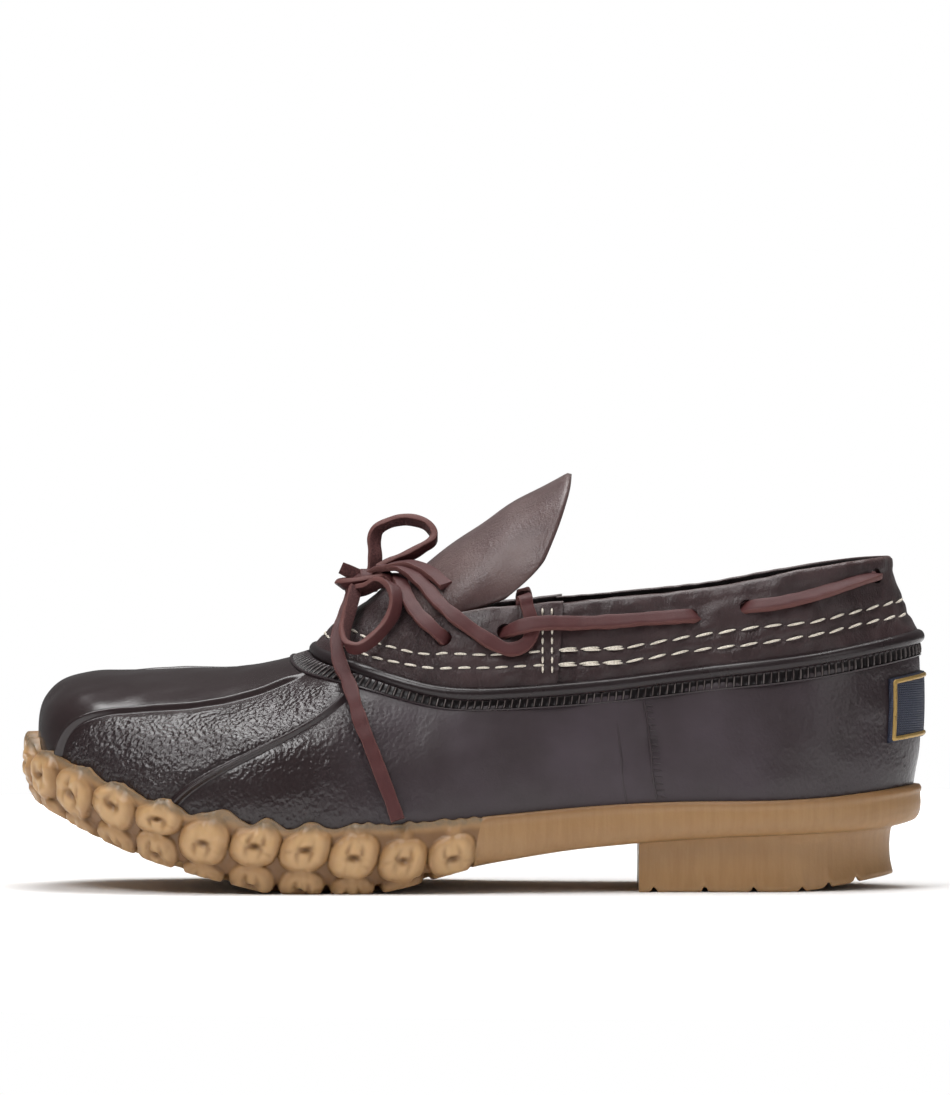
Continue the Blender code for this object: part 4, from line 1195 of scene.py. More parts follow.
@dataclass
class GumSole:
    """The chain of lugs round the forefoot, the foxing behind it, the tread and the heel."""

    lug_height: float = 0.0030
    lug_pitch: float = 0.0162
    lugs_end: float = 4.40 / 16
    cleft: float = 0.0030
    heel_front: float = 0.2035
    heel_bevel: float = 0.0043
    groove: float = 0.0022
    groove_depth: float = 0.0016
    grooves: tuple[float, ...] = (0.7037, 0.7598, 0.8142, 0.8686, 0.8980, 0.9294)
    # Rings of the heel: share of its height, and how far the ring stands inside its edge
    heel_rings: tuple[tuple[float, float], ...] = (
        (1.0, -0.0004), (0.93, 0.0006), (0.8, 0.0010), (0.6, 0.0012), (0.4, 0.0011),
        (0.25, 0.0008), (0.12, 0.0003), (0.05, 0.0), (0.015, 0.0003), (0.0, 0.0010),
    )
    columns_a_lug: int = 30
    lower_row: float = 0.0058
    lower_lug: Lug = Lug(0.0, 0.0076, 0.0070, 0.1, 1.0, 0.5, 0.2)
    tread_pitch: float = 0.0150
    tread_height: float = 0.0022
    tread_lug: Lug = Lug(0.0, 0.0074, 0.0074, 0.4, 0.8, 0.8, 0.3)
    # The links of the upper row, from the toe
    lugs: tuple[tuple[float, ...], ...] = (
        # drop, along, upright, turn, above, below, lean
        (0.0068, 0.0081, 0.0070, 0.35, 0.3, 0.9, 0.3),
        (0.0082, 0.0081, 0.0074, -0.20, 0.8, 0.4, -0.3),
        (0.0086, 0.0081, 0.0076, 0.40, 0.9, 0.8, 0.5),
        (0.0070, 0.0082, 0.0068, 0.25, 0.9, 0.3, -0.4),
        (0.0056, 0.0080, 0.0054, -0.15, 0.2, 1.0, 0.4),
        (0.0096, 0.0081, 0.0076, 0.05, 0.2, 1.0, 0.0),
        (0.0080, 0.0080, 0.0074, 0.08, 1.0, 0.7, 0.3),
        (0.0084, 0.0082, 0.0077, -0.08, 0.4, 0.9, -0.2),
        (0.0104, 0.0081, 0.0078, 0.12, 0.9, 0.3, 0.4),
        (0.0124, 0.0081, 0.0076, 0.05, 0.8, 0.6, -0.3),
        (0.0120, 0.0080, 0.0074, -0.18, 0.7, 0.3, 0.3),
    )

    def chain(self, fine: int = 600) -> tuple[Array, Array]:
        """Shares of the loop from the toe to the chain's end, and the count of lugs up to each."""
        u = np.linspace(0, self.lugs_end, fine)
        path = FORM.gum(u, np.array([0.4]))[0]
        run = run_lengths(path)
        return u, run / run[-1] * round(run[-1] / self.lug_pitch)

    def relief(self, u: Array, down: Array) -> tuple[Array, Array, Array]:
        """Relief of the chain over the gum's face.

        Args:
            u: shares of the loop, one a column.
            down: distance from the gum's upper edge, rows by columns.

        Returns:
            The relief from 0 to 1, the mark hollow, which paints shade in the cuts and between the
            links, and the mark high, a painted highlight on the links' tops, rows by columns.
        """
        fine, count = self.chain()
        half = from_toe(u)
        place = np.interp(half, fine, count)
        total = round(count[-1])
        on = half < self.lugs_end
        height, hollow = np.zeros(down.shape), np.zeros(down.shape)
        for k, lug in enumerate(Lug(*row) for row in self.lugs[:total]):
            a = np.broadcast_to(((place - k - 0.5) * self.lug_pitch)[None, :], down.shape)
            b = down - lug.drop
            pad, cut = lug.pad(a, b)
            low = lug.drop + lug.upright + self.lower_row
            lower, lower_cut = self.lower_lug.pad(a - 0.0006, down - low)
            neck = bell(a - 0.0004, 0.0026) * bell(b - lug.upright, 0.0030) * 0.72
            tab = bell(a + 0.0006, 0.0034) * bell(b + lug.upright + 0.0002, 0.0026) * 0.55
            best = np.maximum.reduce([pad, 0.92 * lower, neck, tab]) * on
            own = np.where(pad >= 0.92 * lower, cut, lower_cut)
            hollow = np.where(best > height, own * on, hollow)
            height = np.maximum(height, best)
        # high paints a highlight on the links' tops
        high = smoothstep(height, 0.72, 1.0)
        # between paints shade in the gaps between the links
        between = (1 - smoothstep(height, 0.15, 0.62)) * on * smoothstep(down, 0.0018, 0.0045)
        return height, np.clip(1.1 * hollow + 0.75 * between, 0, 1), high

    def skin(self, gum: bpy.types.Material) -> bpy.types.Object:
        """The gum's whole outer face, its hidden inner face and the tread underneath."""
        fine, count = self.chain()
        total = round(count[-1])
        fore = np.interp(np.linspace(0, total, self.columns_a_lug * total + 1), count, fine)
        rear = np.linspace(self.lugs_end, 0.5, 121)[1:]
        u = np.concatenate([fore, rear])
        u = np.concatenate([u, 1 - u[1:-1][::-1]])
        shares = np.concatenate([np.linspace(0, 0.9, 54), np.linspace(0.9, 1.0, 7)[1:]])
        skin = FORM.gum(u, shares)
        step = np.linalg.norm(np.diff(skin, axis=0), axis=2)
        down = np.concatenate([np.zeros((1, len(u))), np.cumsum(step, axis=0)])
        out = FORM.outward("foot", u)
        across = unit(np.gradient(skin, axis=0))
        normal = unit(np.cross(across, ring_tangent(skin, axis=1)))
        normal *= np.sign((normal[6] * out).sum(axis=-1))[None, :, None]
        chain, hollow, high = self.relief(u, down)
        lug = chain * self.lug_height
        half = from_toe(u)
        on = (half < self.lugs_end).astype(float)[None, :]
        place = np.interp(half, fine, count)
        uneven = 0.00035 * waves(skin, 0.0055, 21) + 0.0002 * waves(skin, 0.0028, 22)
        lug = lug + on * uneven * smoothstep(lug, 0.0, 0.001)
        scallop = 0.0009 * np.cos(2 * math.pi * (place - 0.5)) + 0.0010 * waves(skin[0], 0.010, 23)
        scallop = scallop + 0.00022 * waves(skin[0], 0.0040, 24)
        edge = bell(down, 0.0035) * on
        points = skin + normal * lug[..., None]
        points[..., 2] += edge * scallop[None, :]
        rolled = 0.0006 * (1 - on) * bell(down - 0.0012, 0.0012)
        points += normal * rolled[..., None]
        cleft = on * (1 - smoothstep(chain, 0.15, 0.75)) * smoothstep(down, 0.008, 0.012)
        floor = FORM.sole_bottom(points[..., 0]) + self.cleft * cleft
        points[..., 2] = np.maximum(points[..., 2], floor)
        film = on * (1 - smoothstep(down - 0.6 * scallop[None, :], 0.0005, 0.0034))
        film = film * (1 - 0.5 * high)
        foot = FORM.line("foot", u) - UP * FORM.gap
        inner = [foot - out * 0.012, foot + out * FORM.gap]
        inner[0][:, 2] = FORM.plate_top(inner[0][:, 0])
        for v in (0.5 * FORM.wrap_share(u), FORM.wrap_share(u)):
            inner.append(FORM.lifted(FORM.shell, u, v, 0.0001))
        inner = np.array(inner)
        inner[-1] += edge[0][:, None] * scallop[:, None] * UP
        zero = np.zeros(inner.shape[:2])
        # Painted shade along the foxing's top edge, where it meets the shell
        dark = 0.55 * (1 - on) * bell(down, 0.0016)
        streak = 1 - 0.75 * on * np.ones_like(down)
        part = MeshPart("sole_skin")
        n = part.add_grid(
            np.concatenate([inner, points]),
            close_columns=True,
            hollow=np.concatenate([zero, np.clip(hollow + dark, 0, 1)]),
            high=np.concatenate([zero, high * on]),
            film=np.concatenate([zero, film]),
            streak=np.concatenate([zero, streak]),
        )
        part.add_cap(n[0])
        self.tread(part, n[-1], u, cleft[-1])
        return part.make([gum], 70)

    def tread(self, part: MeshPart, edge: Array, u: Array, cleft: Array) -> None:
        """The underside: rows that shrink the edge towards its middle line, cut into links."""
        start = part.points[-1].reshape(-1, 3)[-len(u) :] + TO_HEEL
        mate = np.concatenate([[0], np.arange(1, len(u))[::-1]])
        middle = (start + start[mate]) / 2
        share = np.linspace(0, 1, 40)[1:-1]
        rows = start[None] + (middle - start)[None] * share[:, None, None]
        x, y = rows[..., 0], rows[..., 1]
        on = smoothstep(x, 0.012, 0.02) * (1 - smoothstep(x, 0.138, 0.144))
        pitch = self.tread_pitch
        a = (x / pitch) % 1 - 0.5
        b = ((y / pitch) + 0.5 * (np.floor(x / pitch) % 2)) % 1 - 0.5
        pad, _ = self.tread_lug.pad(a * pitch, b * pitch)
        rise = self.tread_height * on * (1 - pad) * smoothstep(share, 0.02, 0.12)[:, None]
        edge_rise = self.cleft * cleft[None, :] * (1 - smoothstep(share, 0.0, 0.16))[:, None]
        rise = np.maximum(rise, edge_rise)
        rows[..., 2] = FORM.sole_bottom(x) + rise
        # hollow paints shade in the tread's recesses, high a highlight on its links
        marks = {"hollow": 0.7 * on * (1 - pad), "high": 0.6 * on * pad, "streak": 0.5}
        n = part.add_points(rows, **marks)
        part.add_cells(np.concatenate([edge[None], n]), close_columns=True)
        part.add_cap(n[-1])

    def heel(self, gum: bpy.types.Material) -> bpy.types.Object:
        """The heel: level rings, straight across the front, with grooves sunk across its tread."""
        fine = np.linspace(0.3, 0.5, 400)
        front = np.interp(self.heel_front, FORM.line("foot", fine)[:, 0], fine)
        side = np.linspace(front, 0.5, 130)
        u = np.concatenate([side, 1 - side[:-1][::-1]])
        foot, out = FORM.line("foot", u), FORM.outward("foot", u)
        back = smoothstep(foot[:, 0], self.heel_front + 0.05, FORM.length)[:, None]
        edge = foot - out * (0.0012 + 0.0040 * back)
        lift = self.heel_bevel * np.clip((edge[:, 0] / FORM.length - 0.87) / 0.1, 0, 1)
        ahead = smoothstep(np.abs(edge[:, 1]), 0.0, 0.02)
        cut = sum(bell(edge[:, 0] - share * FORM.length, 0.00075) for share in self.grooves)
        lift = lift + self.groove_depth * np.clip(cut * 1.3, 0, 1) * ahead
        rows = []
        for share, inset in self.heel_rings:
            ring = edge - out * inset
            ring[:, 2] = lift + (FORM.sole_bottom(ring[:, 0]) - 0.0001 - lift) * share
            rows.append(ring)
        rows = np.array(rows)
        worn = bell(rows[..., 2] - lift[None, :], 0.0012)
        part = MeshPart("heel_tread")
        n = part.add_grid(rows, close_columns=True, streak=1.0, high=0.25 * worn, hollow=0.0)
        part.add_cap(n[0])
        self.heel_face(part, n[-1], rows[-1])
        return part.make([gum], 50)

    def heel_face(self, part: MeshPart, edge: Array, ring: Array) -> None:
        """The heel's tread face: rungs from side to side, sunk where a groove runs across."""
        half = (len(edge) + 1) // 2
        left, right = ring[:half], ring[::-1][:half]
        share = np.linspace(0, 1, 17)[1:-1, None, None]
        rows = left[None] + (right - left)[None] * share
        n = part.add_points(rows, streak=0.5)
        part.add_cells(np.concatenate([edge[None, :half], n, edge[::-1][None, :half]]))

    def build(self, gum: bpy.types.Material) -> None:
        """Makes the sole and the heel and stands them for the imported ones."""
        skin, heel = self.skin(gum), self.heel(gum)
        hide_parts("outsole")
        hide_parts("heel_block")


# The leather


UPPER_STITCHES = (
    # x, y in the side view, in pixels of the 950 by 1095 frame
    (381, 642), (397, 646), (414, 650), (430, 652), (449, 651), (489, 652), (559, 648), (627, 645),
    (690, 635), (752, 626), (809, 621), (846, 613), (899, 602),
)
LOWER_STITCHES = (
    (375, 655), (393, 659), (410, 662), (428, 665), (468, 665), (510, 664), (562, 662), (627, 659),
    (690, 649), (752, 642), (815, 633), (862, 623), (902, 616),
)
# The joint's two upright rows: their x, then first, last and step of the stitches' tops
JOINT_STITCHES = (542.7, 552.0)
JOINT_TOPS = (608, 668, 9.3)
JOINT_LONG = 6.6
TOE_PIXEL, FLOOR_PIXEL, PIXELS_A_METRE = 26, 887, 3010


def from_pixels(x: float, y: float) -> tuple[float, float]:
    """A place of the side view in metres: from the toe's tip, and above the floor."""
    return (x - TOE_PIXEL) / PIXELS_A_METRE, (FLOOR_PIXEL - y) / PIXELS_A_METRE


@dataclass
class StitchRow:
    """A row of stitches: the share t of the leather's height for each share u of the loop."""

    places: Sequence[tuple[float, float]]

    def __post_init__(self) -> None:
        """Finds the row's places on the leather, and carries it over the toe and round the heel."""
        found = [FORM.find(FORM.leather, *from_pixels(x, y), Side.OUTER) for x, y in self.places]
        u, t = np.array(sorted(found)).T
        self.u = np.concatenate([[0.0], u, [0.5]])
        self.t = np.concatenate([[t[0]], t, [t[-1]]])

    def height(self, u: Array) -> Array:
        """The row's t at the shares u, alike on both sides of the foot."""
        half = from_toe(u)
        return monotone(self.u, self.t, half)


@dataclass
class LeatherUpper:
    """The vamp and the collar, with holes for the lace, stitch rows and the joint between them."""

    collar_leather: float = 0.0018
    vamp_leather: float = 0.0021
    joint: float = 4.48 / 16
    joint_gap: float = 0.0004
    joint_lap: float = 0.004
    throat: float = 0.1275
    front_pitch: float = 0.0061
    rear_pitch: float = 0.0076
    punch_depth: float = 0.008
    eyelet: float = 0.0055
    slot: float = 0.0050
    holes: tuple[tuple[float, float, str], ...] = (
        # share of the length, height, piece
        (0.4703, 0.0834, "vamp"),
        (0.5389, 0.0854, "vamp"),
        (0.7443, 0.0904, "collar"),
        (0.8071, 0.0934, "collar"),
        (0.9510, 0.1030, "collar"),
    )

    def __post_init__(self) -> None:
        """Lays out the two stitch rows."""
        self.rows = (StitchRow(UPPER_STITCHES), StitchRow(LOWER_STITCHES))

    def relief(self, u: Array, t: Array, is_vamp: bool) -> tuple[Array, Array]:
        """Lift of the leather's face, and how far it is pinched at its stitches.

        A groove runs along each stitch row, the face swells between the rows, soft waves run over
        it, and near the joint the vamp lies over the collar.
        """
        tall = FORM.meridian(FORM.leather, u[0])[None, :]
        points = FORM.leather(u, t)
        lift = 0.00030 * waves(points, 0.016, 31) + 0.00012 * waves(points, 0.006, 32)
        pinch = np.zeros(t.shape)
        for row in self.rows:
            pinch += bell((t - row.height(u)) * tall, 0.0011)
        lift = lift - 0.00038 * np.clip(pinch, 0, 1)
        before = (self.joint - from_toe(u)) * (2.1 * FORM.length)
        if is_vamp:
            lift = lift + 0.0009 * (1 - smoothstep(before, 0.010, 0.016))
            lift = lift - 0.0002 * bell(before - 0.0115, 0.0014)
            crease = bell(points[..., 0] - self.throat, 0.010) * smoothstep(t, 0.05, 0.4)
            lift += 0.00035 * crease * waves(points * np.array([1.6, 1, 0.6]), 0.0042, 33)
        else:
            lift = lift - 0.0003 * (1 - smoothstep(-before, 0.004, 0.012))
            lift += 0.00045 * smoothstep(t, 0.80, 0.90) * (1 - smoothstep(t, 0.97, 1.0))
        return lift, np.clip(pinch, 0, 1)

    def piece(
        self, name: str, u: Array, thickness: float, finishes: Sequence[bpy.types.Material]
    ) -> bpy.types.Object:
        """A leather piece: outer face, rounded top edge, inner face, with its two ends closed."""
        is_vamp = name.startswith("vamp")
        t = np.linspace(-0.05, 1, 46)[:, None] + 0 * u[None, :]
        v = 0 * t + u[None, :]
        lift, pinch = self.relief(v, np.clip(t, 0, 1), is_vamp)
        base = FORM.leather(v, t)
        normal = FORM.normal(FORM.leather, v, np.clip(t, 0, 1))
        outer = base + normal * lift[..., None]
        rise = unit(outer[-1] - outer[-3])
        turn = np.linspace(0, math.pi, 9)[1:-1, None, None]
        reach = thickness / 2 * 0.9
        centre = outer[-1] - normal[-1] * thickness / 2
        lip = centre + np.cos(turn) * normal[-1] * thickness / 2 + np.sin(turn) * rise * reach
        inner = (outer - normal * thickness)[::-1]
        rows = np.concatenate([outer, lip, inner])
        edge = np.zeros(rows.shape[:2])
        first = len(outer) - 2
        worn = np.array([0.1, 0.35, 0.7, 0.9, 1.0, 0.9, 0.6])
        edge[first : first + len(worn)] = worn[:, None]
        flat = np.concatenate([pinch, np.zeros((len(rows) - len(outer), len(u)))])
        crease = np.zeros(rows.shape[:2])
        crease[: len(outer)] = 0.16
        if is_vamp:
            folded = bell(outer[..., 0] - self.throat, 0.013)
            crease[: len(outer)] += 0.84 * folded + 0.35 * pinch
        else:
            crease[: len(outer)] += 0.25 * pinch
        slots = np.zeros(len(rows), int)
        slots[len(outer) + 6 :] = 1
        part = MeshPart(name)
        n = part.add_grid(
            rows,
            close_rows=True,
            slot=slots,
            edge=0.55 * edge,
            crease=np.clip(crease, 0, 1),
            pinch=0.28 * flat,
        )
        part.add_cap(n[:, 0])
        part.add_cap(n[:, -1])
        return part.make(finishes, 50)

    def cut_holes(self, piece: bpy.types.Object, which: str) -> None:
        """Punches the lace holes with round cutters along the leather's own normal."""
        cutters = []
        for at, height, owner in self.holes:
            if owner != which:
                continue
            for side in Side:
                u, t = FORM.find(FORM.leather, at * FORM.length, height, side)
                spot = FORM.leather(np.array(u), np.array(t)) - TO_HEEL
                way = Vector(FORM.normal(FORM.leather, np.array(u), np.array(t)))
                wide = self.eyelet if which == "vamp" else self.slot
                tool = bmesh.new()
                bmesh.ops.create_cone(
                    tool,
                    cap_ends=True,
                    segments=40,
                    radius1=wide / 2,
                    radius2=wide / 2,
                    depth=self.punch_depth,
                )
                turn = way.to_track_quat("Z", "Y").to_matrix().to_4x4()
                turn.translation = Vector(spot)
                bmesh.ops.transform(tool, matrix=turn, verts=tool.verts)
                mesh = bpy.data.meshes.new("punch")
                tool.to_mesh(mesh)
                tool.free()
                cutter = placed("punch", mesh)
                cutters.append(cutter)
                cut = piece.modifiers.new("punch", "BOOLEAN")
                cut.operation = "DIFFERENCE"
                cut.object = cutter
        bpy.context.view_layer.update()
        graph = bpy.context.evaluated_depsgraph_get()
        shaped = bpy.data.meshes.new_from_object(piece.evaluated_get(graph))
        piece.modifiers.clear()
        old = piece.data
        piece.data = shaped
        bpy.data.meshes.remove(old)
        shaped.set_sharp_from_angle(angle=math.radians(50))
        for cutter in cutters:
            bpy.data.objects.remove(cutter)

    def stitches(self, thread: bpy.types.Material) -> bpy.types.Object:
        """All the stitches: capsules that rise, arch over the leather and sink again."""
        part = MeshPart("upper_stitches")
        for row in self.rows:
            fine = np.linspace(0.0, 0.5, 1500)
            path = FORM.leather(fine, row.height(fine))
            run = run_lengths(path)
            joint = float(np.interp(self.joint - 0.006, fine, run))
            front = np.arange(0.5, joint / self.front_pitch) * self.front_pitch
            count = (run[-1] - joint) / self.rear_pitch
            rear = joint + 0.0015 + np.arange(0.5, count - 0.3) * self.rear_pitch
            locked = rear[:3]
            for starts, long, slip, slope in (
                (front, 0.0046, 0.0, 0.02),
                (rear[3:], 0.0058, 0.0, 0.10),
                (locked, 0.0062, 0.00022, 0.06),
                (locked + 0.0008, 0.0058, -0.00034, 0.0),
            ):
                for inner in (False, True):
                    self.threads(part, row, fine, run, starts, long, slip, slope, inner)
        self.joint_threads(part)
        return part.make([thread], 60)

    def threads(
        self,
        part: MeshPart,
        row: StitchRow,
        fine: Array,
        run: Array,
        starts: Array,
        long: float,
        slip: float,
        slope: float,
        inner: bool,
    ) -> None:
        """Adds stitches of one length along a row, on the outer or the inner side.

        Args:
            part: the mesh to add to.
            row: the row that the stitches follow.
            fine: shares of the loop along the row.
            run: distance along the row at each of those shares.
            starts: distance along the row to each stitch's middle.
            long: a stitch's length.
            slip: how far the stitch lies above the row.
            slope: its rise against the row, for each unit of its length.
            inner: puts them on the inner side of the foot.
        """
        share = np.linspace(-0.5, 0.5, 9)
        where = starts[:, None] + long * share[None, :]
        u = np.interp(where, run, fine)
        t = row.height(u) + (slip + slope * long * share[None, :]) / 0.024
        if inner:
            u = 1 - u
        self.capsules(part, u, t, 0.00042)

    def capsules(
        self, part: MeshPart, u: Array, t: Array, radius: float, extra: float = 0.0
    ) -> None:
        """Adds capsules along rows of places: radius times sin(pi s)^0.35, arched up."""
        lift, _ = self.relief(u, t, True)
        path = FORM.leather(u, t)
        normal = FORM.normal(FORM.leather, u, t)
        along = unit(np.gradient(path, axis=1))
        across = unit(np.cross(along, normal))
        s = np.linspace(0, 1, u.shape[1])[None, :, None]
        arch = np.sin(math.pi * s)
        path = path + normal * (lift[..., None] * 0.6 - 0.0004 + 0.0007 * arch**0.6 + extra)
        thick = radius * np.maximum(arch, 0.02) ** 0.35
        rings = np.stack(
            [
                path + thick * (math.cos(a) * across + 0.8 * math.sin(a) * normal)
                for a in circle(8)
            ],
            axis=1,
        )
        for ring in rings:
            n = part.add_grid(ring, True, False)
            part.add_cap(n[:, 0])
            part.add_cap(n[:, -1])

    def joint_threads(self, part: MeshPart) -> None:
        """The two upright rows at the side joint, from near the top edge to the lower row."""
        for side in Side:
            for px in JOINT_STITCHES:
                for py in np.arange(*JOINT_TOPS):
                    pixels = ((px, py), (px, py + JOINT_LONG))
                    ends = [FORM.find(FORM.leather, *from_pixels(*p), side) for p in pixels]
                    u, t = np.linspace(*ends, 9).T[:, None, :]
                    self.capsules(part, u, t, 0.00036, 0.0007)

    def build(
        self, leather: bpy.types.Material, flesh: bpy.types.Material, thread: bpy.types.Material
    ) -> None:
        """Makes the vamp, the collar and their stitches."""
        vamp_u = np.linspace(-self.joint, self.joint, 520)
        vamp = self.piece("vamp_leather", vamp_u, self.vamp_leather, [leather, flesh])
        start, end = self.joint + self.joint_gap, 1 - self.joint - self.joint_gap
        collar_u = np.linspace(start - self.joint_lap, end + self.joint_lap, 620)
        collar = self.piece("collar_leather", collar_u, self.collar_leather, [leather, flesh])
        for piece, node in ((vamp, "vamp"), (collar, "collar")):
            self.cut_holes(piece, node)
            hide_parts(node)
        self.stitches(thread)


# The tongue


@dataclass
class Tongue:
    """The soft leather tongue: a bent plate with rounded edges and a slight wave."""

    thickness: float = 0.0021

    def build(self, leather: bpy.types.Material, flesh: bpy.types.Material) -> None:
        """Two faces half a thickness off the middle, which meet at the sides and the tip."""
        along, across = np.linspace(0, 1, 90)[:, None], np.linspace(-1, 1, 121)[None, :]
        edge_packed = np.sin(across * math.pi / 2) * 0.35 + across * 0.65
        along_packed = along + 0.06 * np.sin(2 * math.pi * along) / 2
        face = FORM.tongue(along_packed, edge_packed)
        normal = unit(np.cross(np.gradient(face, axis=0), np.gradient(face, axis=1)))
        normal *= np.sign((normal * (face - np.array([0.15, 0, 0.07]))).sum(axis=-1))[..., None]
        end = np.maximum(np.abs(edge_packed), 2 * along_packed - 1)
        near = np.clip((1 - end) / 0.045, 0, 1)
        round_off = np.sqrt(1 - (1 - near) ** 2)
        middle = face - normal * self.thickness / 2
        wave = 0.0005 * waves(face, 0.022, 41) * smoothstep(along_packed, 0.35, 0.8)
        middle = middle + normal * wave[..., None]
        half = (self.thickness / 2 * round_off)[..., None]
        upper, lower = middle + normal * half, middle - normal * half
        edge = bell(1 - end, 0.02)
        crease = 0.12 + 0.5 * bell(face[..., 0] - 0.126, 0.008)
        part = MeshPart("tongue_leather")
        part.add_grid(upper, edge=0.5 * edge, crease=crease)
        part.add_grid(lower[:, ::-1], slot=1)
        tongue = part.make([leather, flesh], 60)
        weld(tongue, 1e-6)
        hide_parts("tongue")


# The heel label


@dataclass
class HeelLabel:
    """The bare label on the back of the heel: a woven field inside a raised gold edge."""

    width: float = 0.047
    height: float = 0.0216
    thick: float = 0.0018
    bottom: float = 0.0498
    inset: float = 0.0014
    line: float = 0.0015
    corner: float = 0.0012

    def shares(self) -> tuple[float, float, float, float]:
        """The label's place on the shell: half its width in u, pace of u, and its v limits."""
        middle = np.array([0.5])
        pace = np.linalg.norm(FORM.shell(0.502, 0.5) - FORM.shell(0.498, 0.5)) / 0.004
        rim, foot = FORM.line("rim", middle)[0, 2], FORM.line("foot", middle)[0, 2]
        low = (self.bottom - foot) / (rim - foot)
        high = (self.bottom + self.height - foot) / (rim - foot)
        return self.width / 2 / pace, pace, low, high

    def outline(self, half_wide: float, half_tall: float, corner: float) -> tuple[Array, Array]:
        """A rectangle with round corners: forty steps on each side and nine in each corner."""
        x, y = half_wide - corner, half_tall - corner
        steps = np.linspace(-1, 1, 40)
        turn = np.linspace(0, math.pi / 2, 9)[1:-1]
        c, s = corner * np.cos(turn), corner * np.sin(turn)
        whole = [
            (steps * 0 + half_wide, steps * y), (x + c, y + s),
            (-steps * x, steps * 0 + half_tall), (-x - s, y + c),
            (steps * 0 - half_wide, -steps * y), (-x - c, -y - s),
            (steps * x, steps * 0 - half_tall), (x + s, -y - c),
        ]
        return tuple(np.concatenate(row) for row in zip(*whole))

    def build(self, field_finish: bpy.types.Material, gilt: bpy.types.Material) -> None:
        """A plate bent round the heel with rounded edges, and the gold line just inside them."""
        half, pace, low, high = self.shares()
        a, b = np.linspace(-1, 1, 121)[None, :], np.linspace(-1, 1, 61)[:, None]
        end = np.maximum(1 - (1 - np.abs(a)) * self.width / self.height, np.abs(b))
        near = np.clip((1 - end) / 0.10, 0, 1)
        lift = 0.0002 + (self.thick - 0.0004) * np.sqrt(1 - (1 - near) ** 2) + 0 * a
        lift = lift - 0.0003 * smoothstep(near, 0.95, 1.0)
        u = 0.5 + half * a + 0 * b
        v = (low + high) / 2 + (high - low) / 2 * b + 0 * a
        part = MeshPart("label_field")
        top = FORM.lifted(FORM.shell, u, v, lift)
        under = FORM.lifted(FORM.shell, u, v, 0.00015)
        under[1:-1, 1:-1] = FORM.lifted(FORM.shell, u, v, -0.0006)[1:-1, 1:-1]
        part.add_grid(top)
        part.add_grid(under[:, ::-1])
        label = part.make([field_finish], 60)
        weld(label, 1.2e-4)
        frame = MeshPart("label_edge")
        rows = []
        for angle in circle(10):
            off = self.inset + self.line / 2 * math.cos(angle)
            corner = self.corner - off * 0.4
            px, py = self.outline(self.width / 2 - off, self.height / 2 - off, corner)
            rise = self.thick - 0.00035 + 0.00055 * math.sin(angle)
            at = (low + high) / 2 + py / self.height * (high - low)
            rows.append(FORM.lifted(FORM.shell, 0.5 + px / pace, at, rise))
        frame.add_grid(np.array(rows), True, True)
        edge = frame.make([gilt], 60)
        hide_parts("heel_label")


# The lace


Route = tuple[tuple[float, float, float], ...]

# Runs over the leather: share round the loop, share up the leather, millimetres off its face.
# The collar's run comes out of the rear hole, goes in and out of the next two, and into the
# rear eyelet.
COLLAR_RUN: Route = (
    (0.4870, 0.780, -3.6), (0.4800, 0.785, -2.7), (0.4736, 0.786, -0.5), (0.4685, 0.780, 1.1),
    (0.4600, 0.760, 1.4), (0.4470, 0.715, 1.3), (0.4300, 0.665, 1.3), (0.4150, 0.645, 1.3),
    (0.4045, 0.655, 1.3), (0.3990, 0.668, 0.2), (0.3950, 0.675, -1.8), (0.3860, 0.676, -3.2),
    (0.3730, 0.668, -3.2), (0.3668, 0.664, -1.8), (0.3634, 0.662, -0.1), (0.3585, 0.662, 1.2),
    (0.3500, 0.666, 1.3), (0.3360, 0.680, 1.3), (0.3110, 0.690, 1.35), (0.2910, 0.705, 1.7),
    (0.2800, 0.715, 2.6), (0.2700, 0.720, 3.5), (0.2600, 0.715, 4.0), (0.2510, 0.700, 3.2),
    (0.2440, 0.690, 1.4), (0.2395, 0.685, -0.6), (0.2350, 0.690, -2.6), (0.2315, 0.700, -3.4),
)
HITCH_RUN: Route = (
    (0.1740, 0.970, 2.0), (0.1940, 0.810, 1.5), (0.2260, 0.560, 1.5), (0.2440, 0.440, 1.7),
    (0.2560, 0.490, 2.0), (0.2600, 0.650, 2.1), (0.2580, 0.820, 2.1), (0.2545, 0.970, 2.0),
)
CROSSING_RUN: Route = (
    (0.1860, 0.570, -4.0), (0.1815, 0.600, -2.9), (0.1776, 0.632, -0.8), (0.1745, 0.658, 0.9),
    (0.1705, 0.685, 1.5),
)

# Free runs: x from the toe's tip, y and z, all in millimetres, for the outer side
HITCH_START: Route = (
    (113.2, -3.6, 102.8), (117.2, -4.4, 105.2), (121.8, -5.5, 105.5), (126.6, -10.4, 105.1),
    (132.6, -20.9, 100.5), (137.5, -29.7, 95.0),
)
HITCH_END: Route = (
    (166.2, -34.9, 96.0), (165.6, -32.2, 96.6), (165.4, -30.6, 93.6), (165.5, -30.4, 88.5),
)
CROSSING_TOP: Route = (
    (134.8, -35.0, 87.4), (131.5, -31.8, 90.4), (128.5, -26.6, 94.2), (126.4, -19.2, 98.2),
    (125.0, -10.0, 101.4), (124.3, 0.0, 102.6),
)
LOOP_UPPER: Route = (
    (115.4, 0.2, 102.6), (116.4, 1.2, 105.4), (116.6, 2.6, 110.0), (116.3, 5.0, 114.8),
    (117.9, 6.0, 118.2), (122.9, 6.5, 120.5), (128.2, 6.0, 121.0), (133.2, 5.0, 119.6),
    (135.9, 3.5, 116.6), (135.6, 2.0, 114.2), (132.6, 0.5, 112.0), (127.0, -0.5, 109.0),
    (121.0, -1.2, 106.6), (117.4, -2.0, 104.8),
)
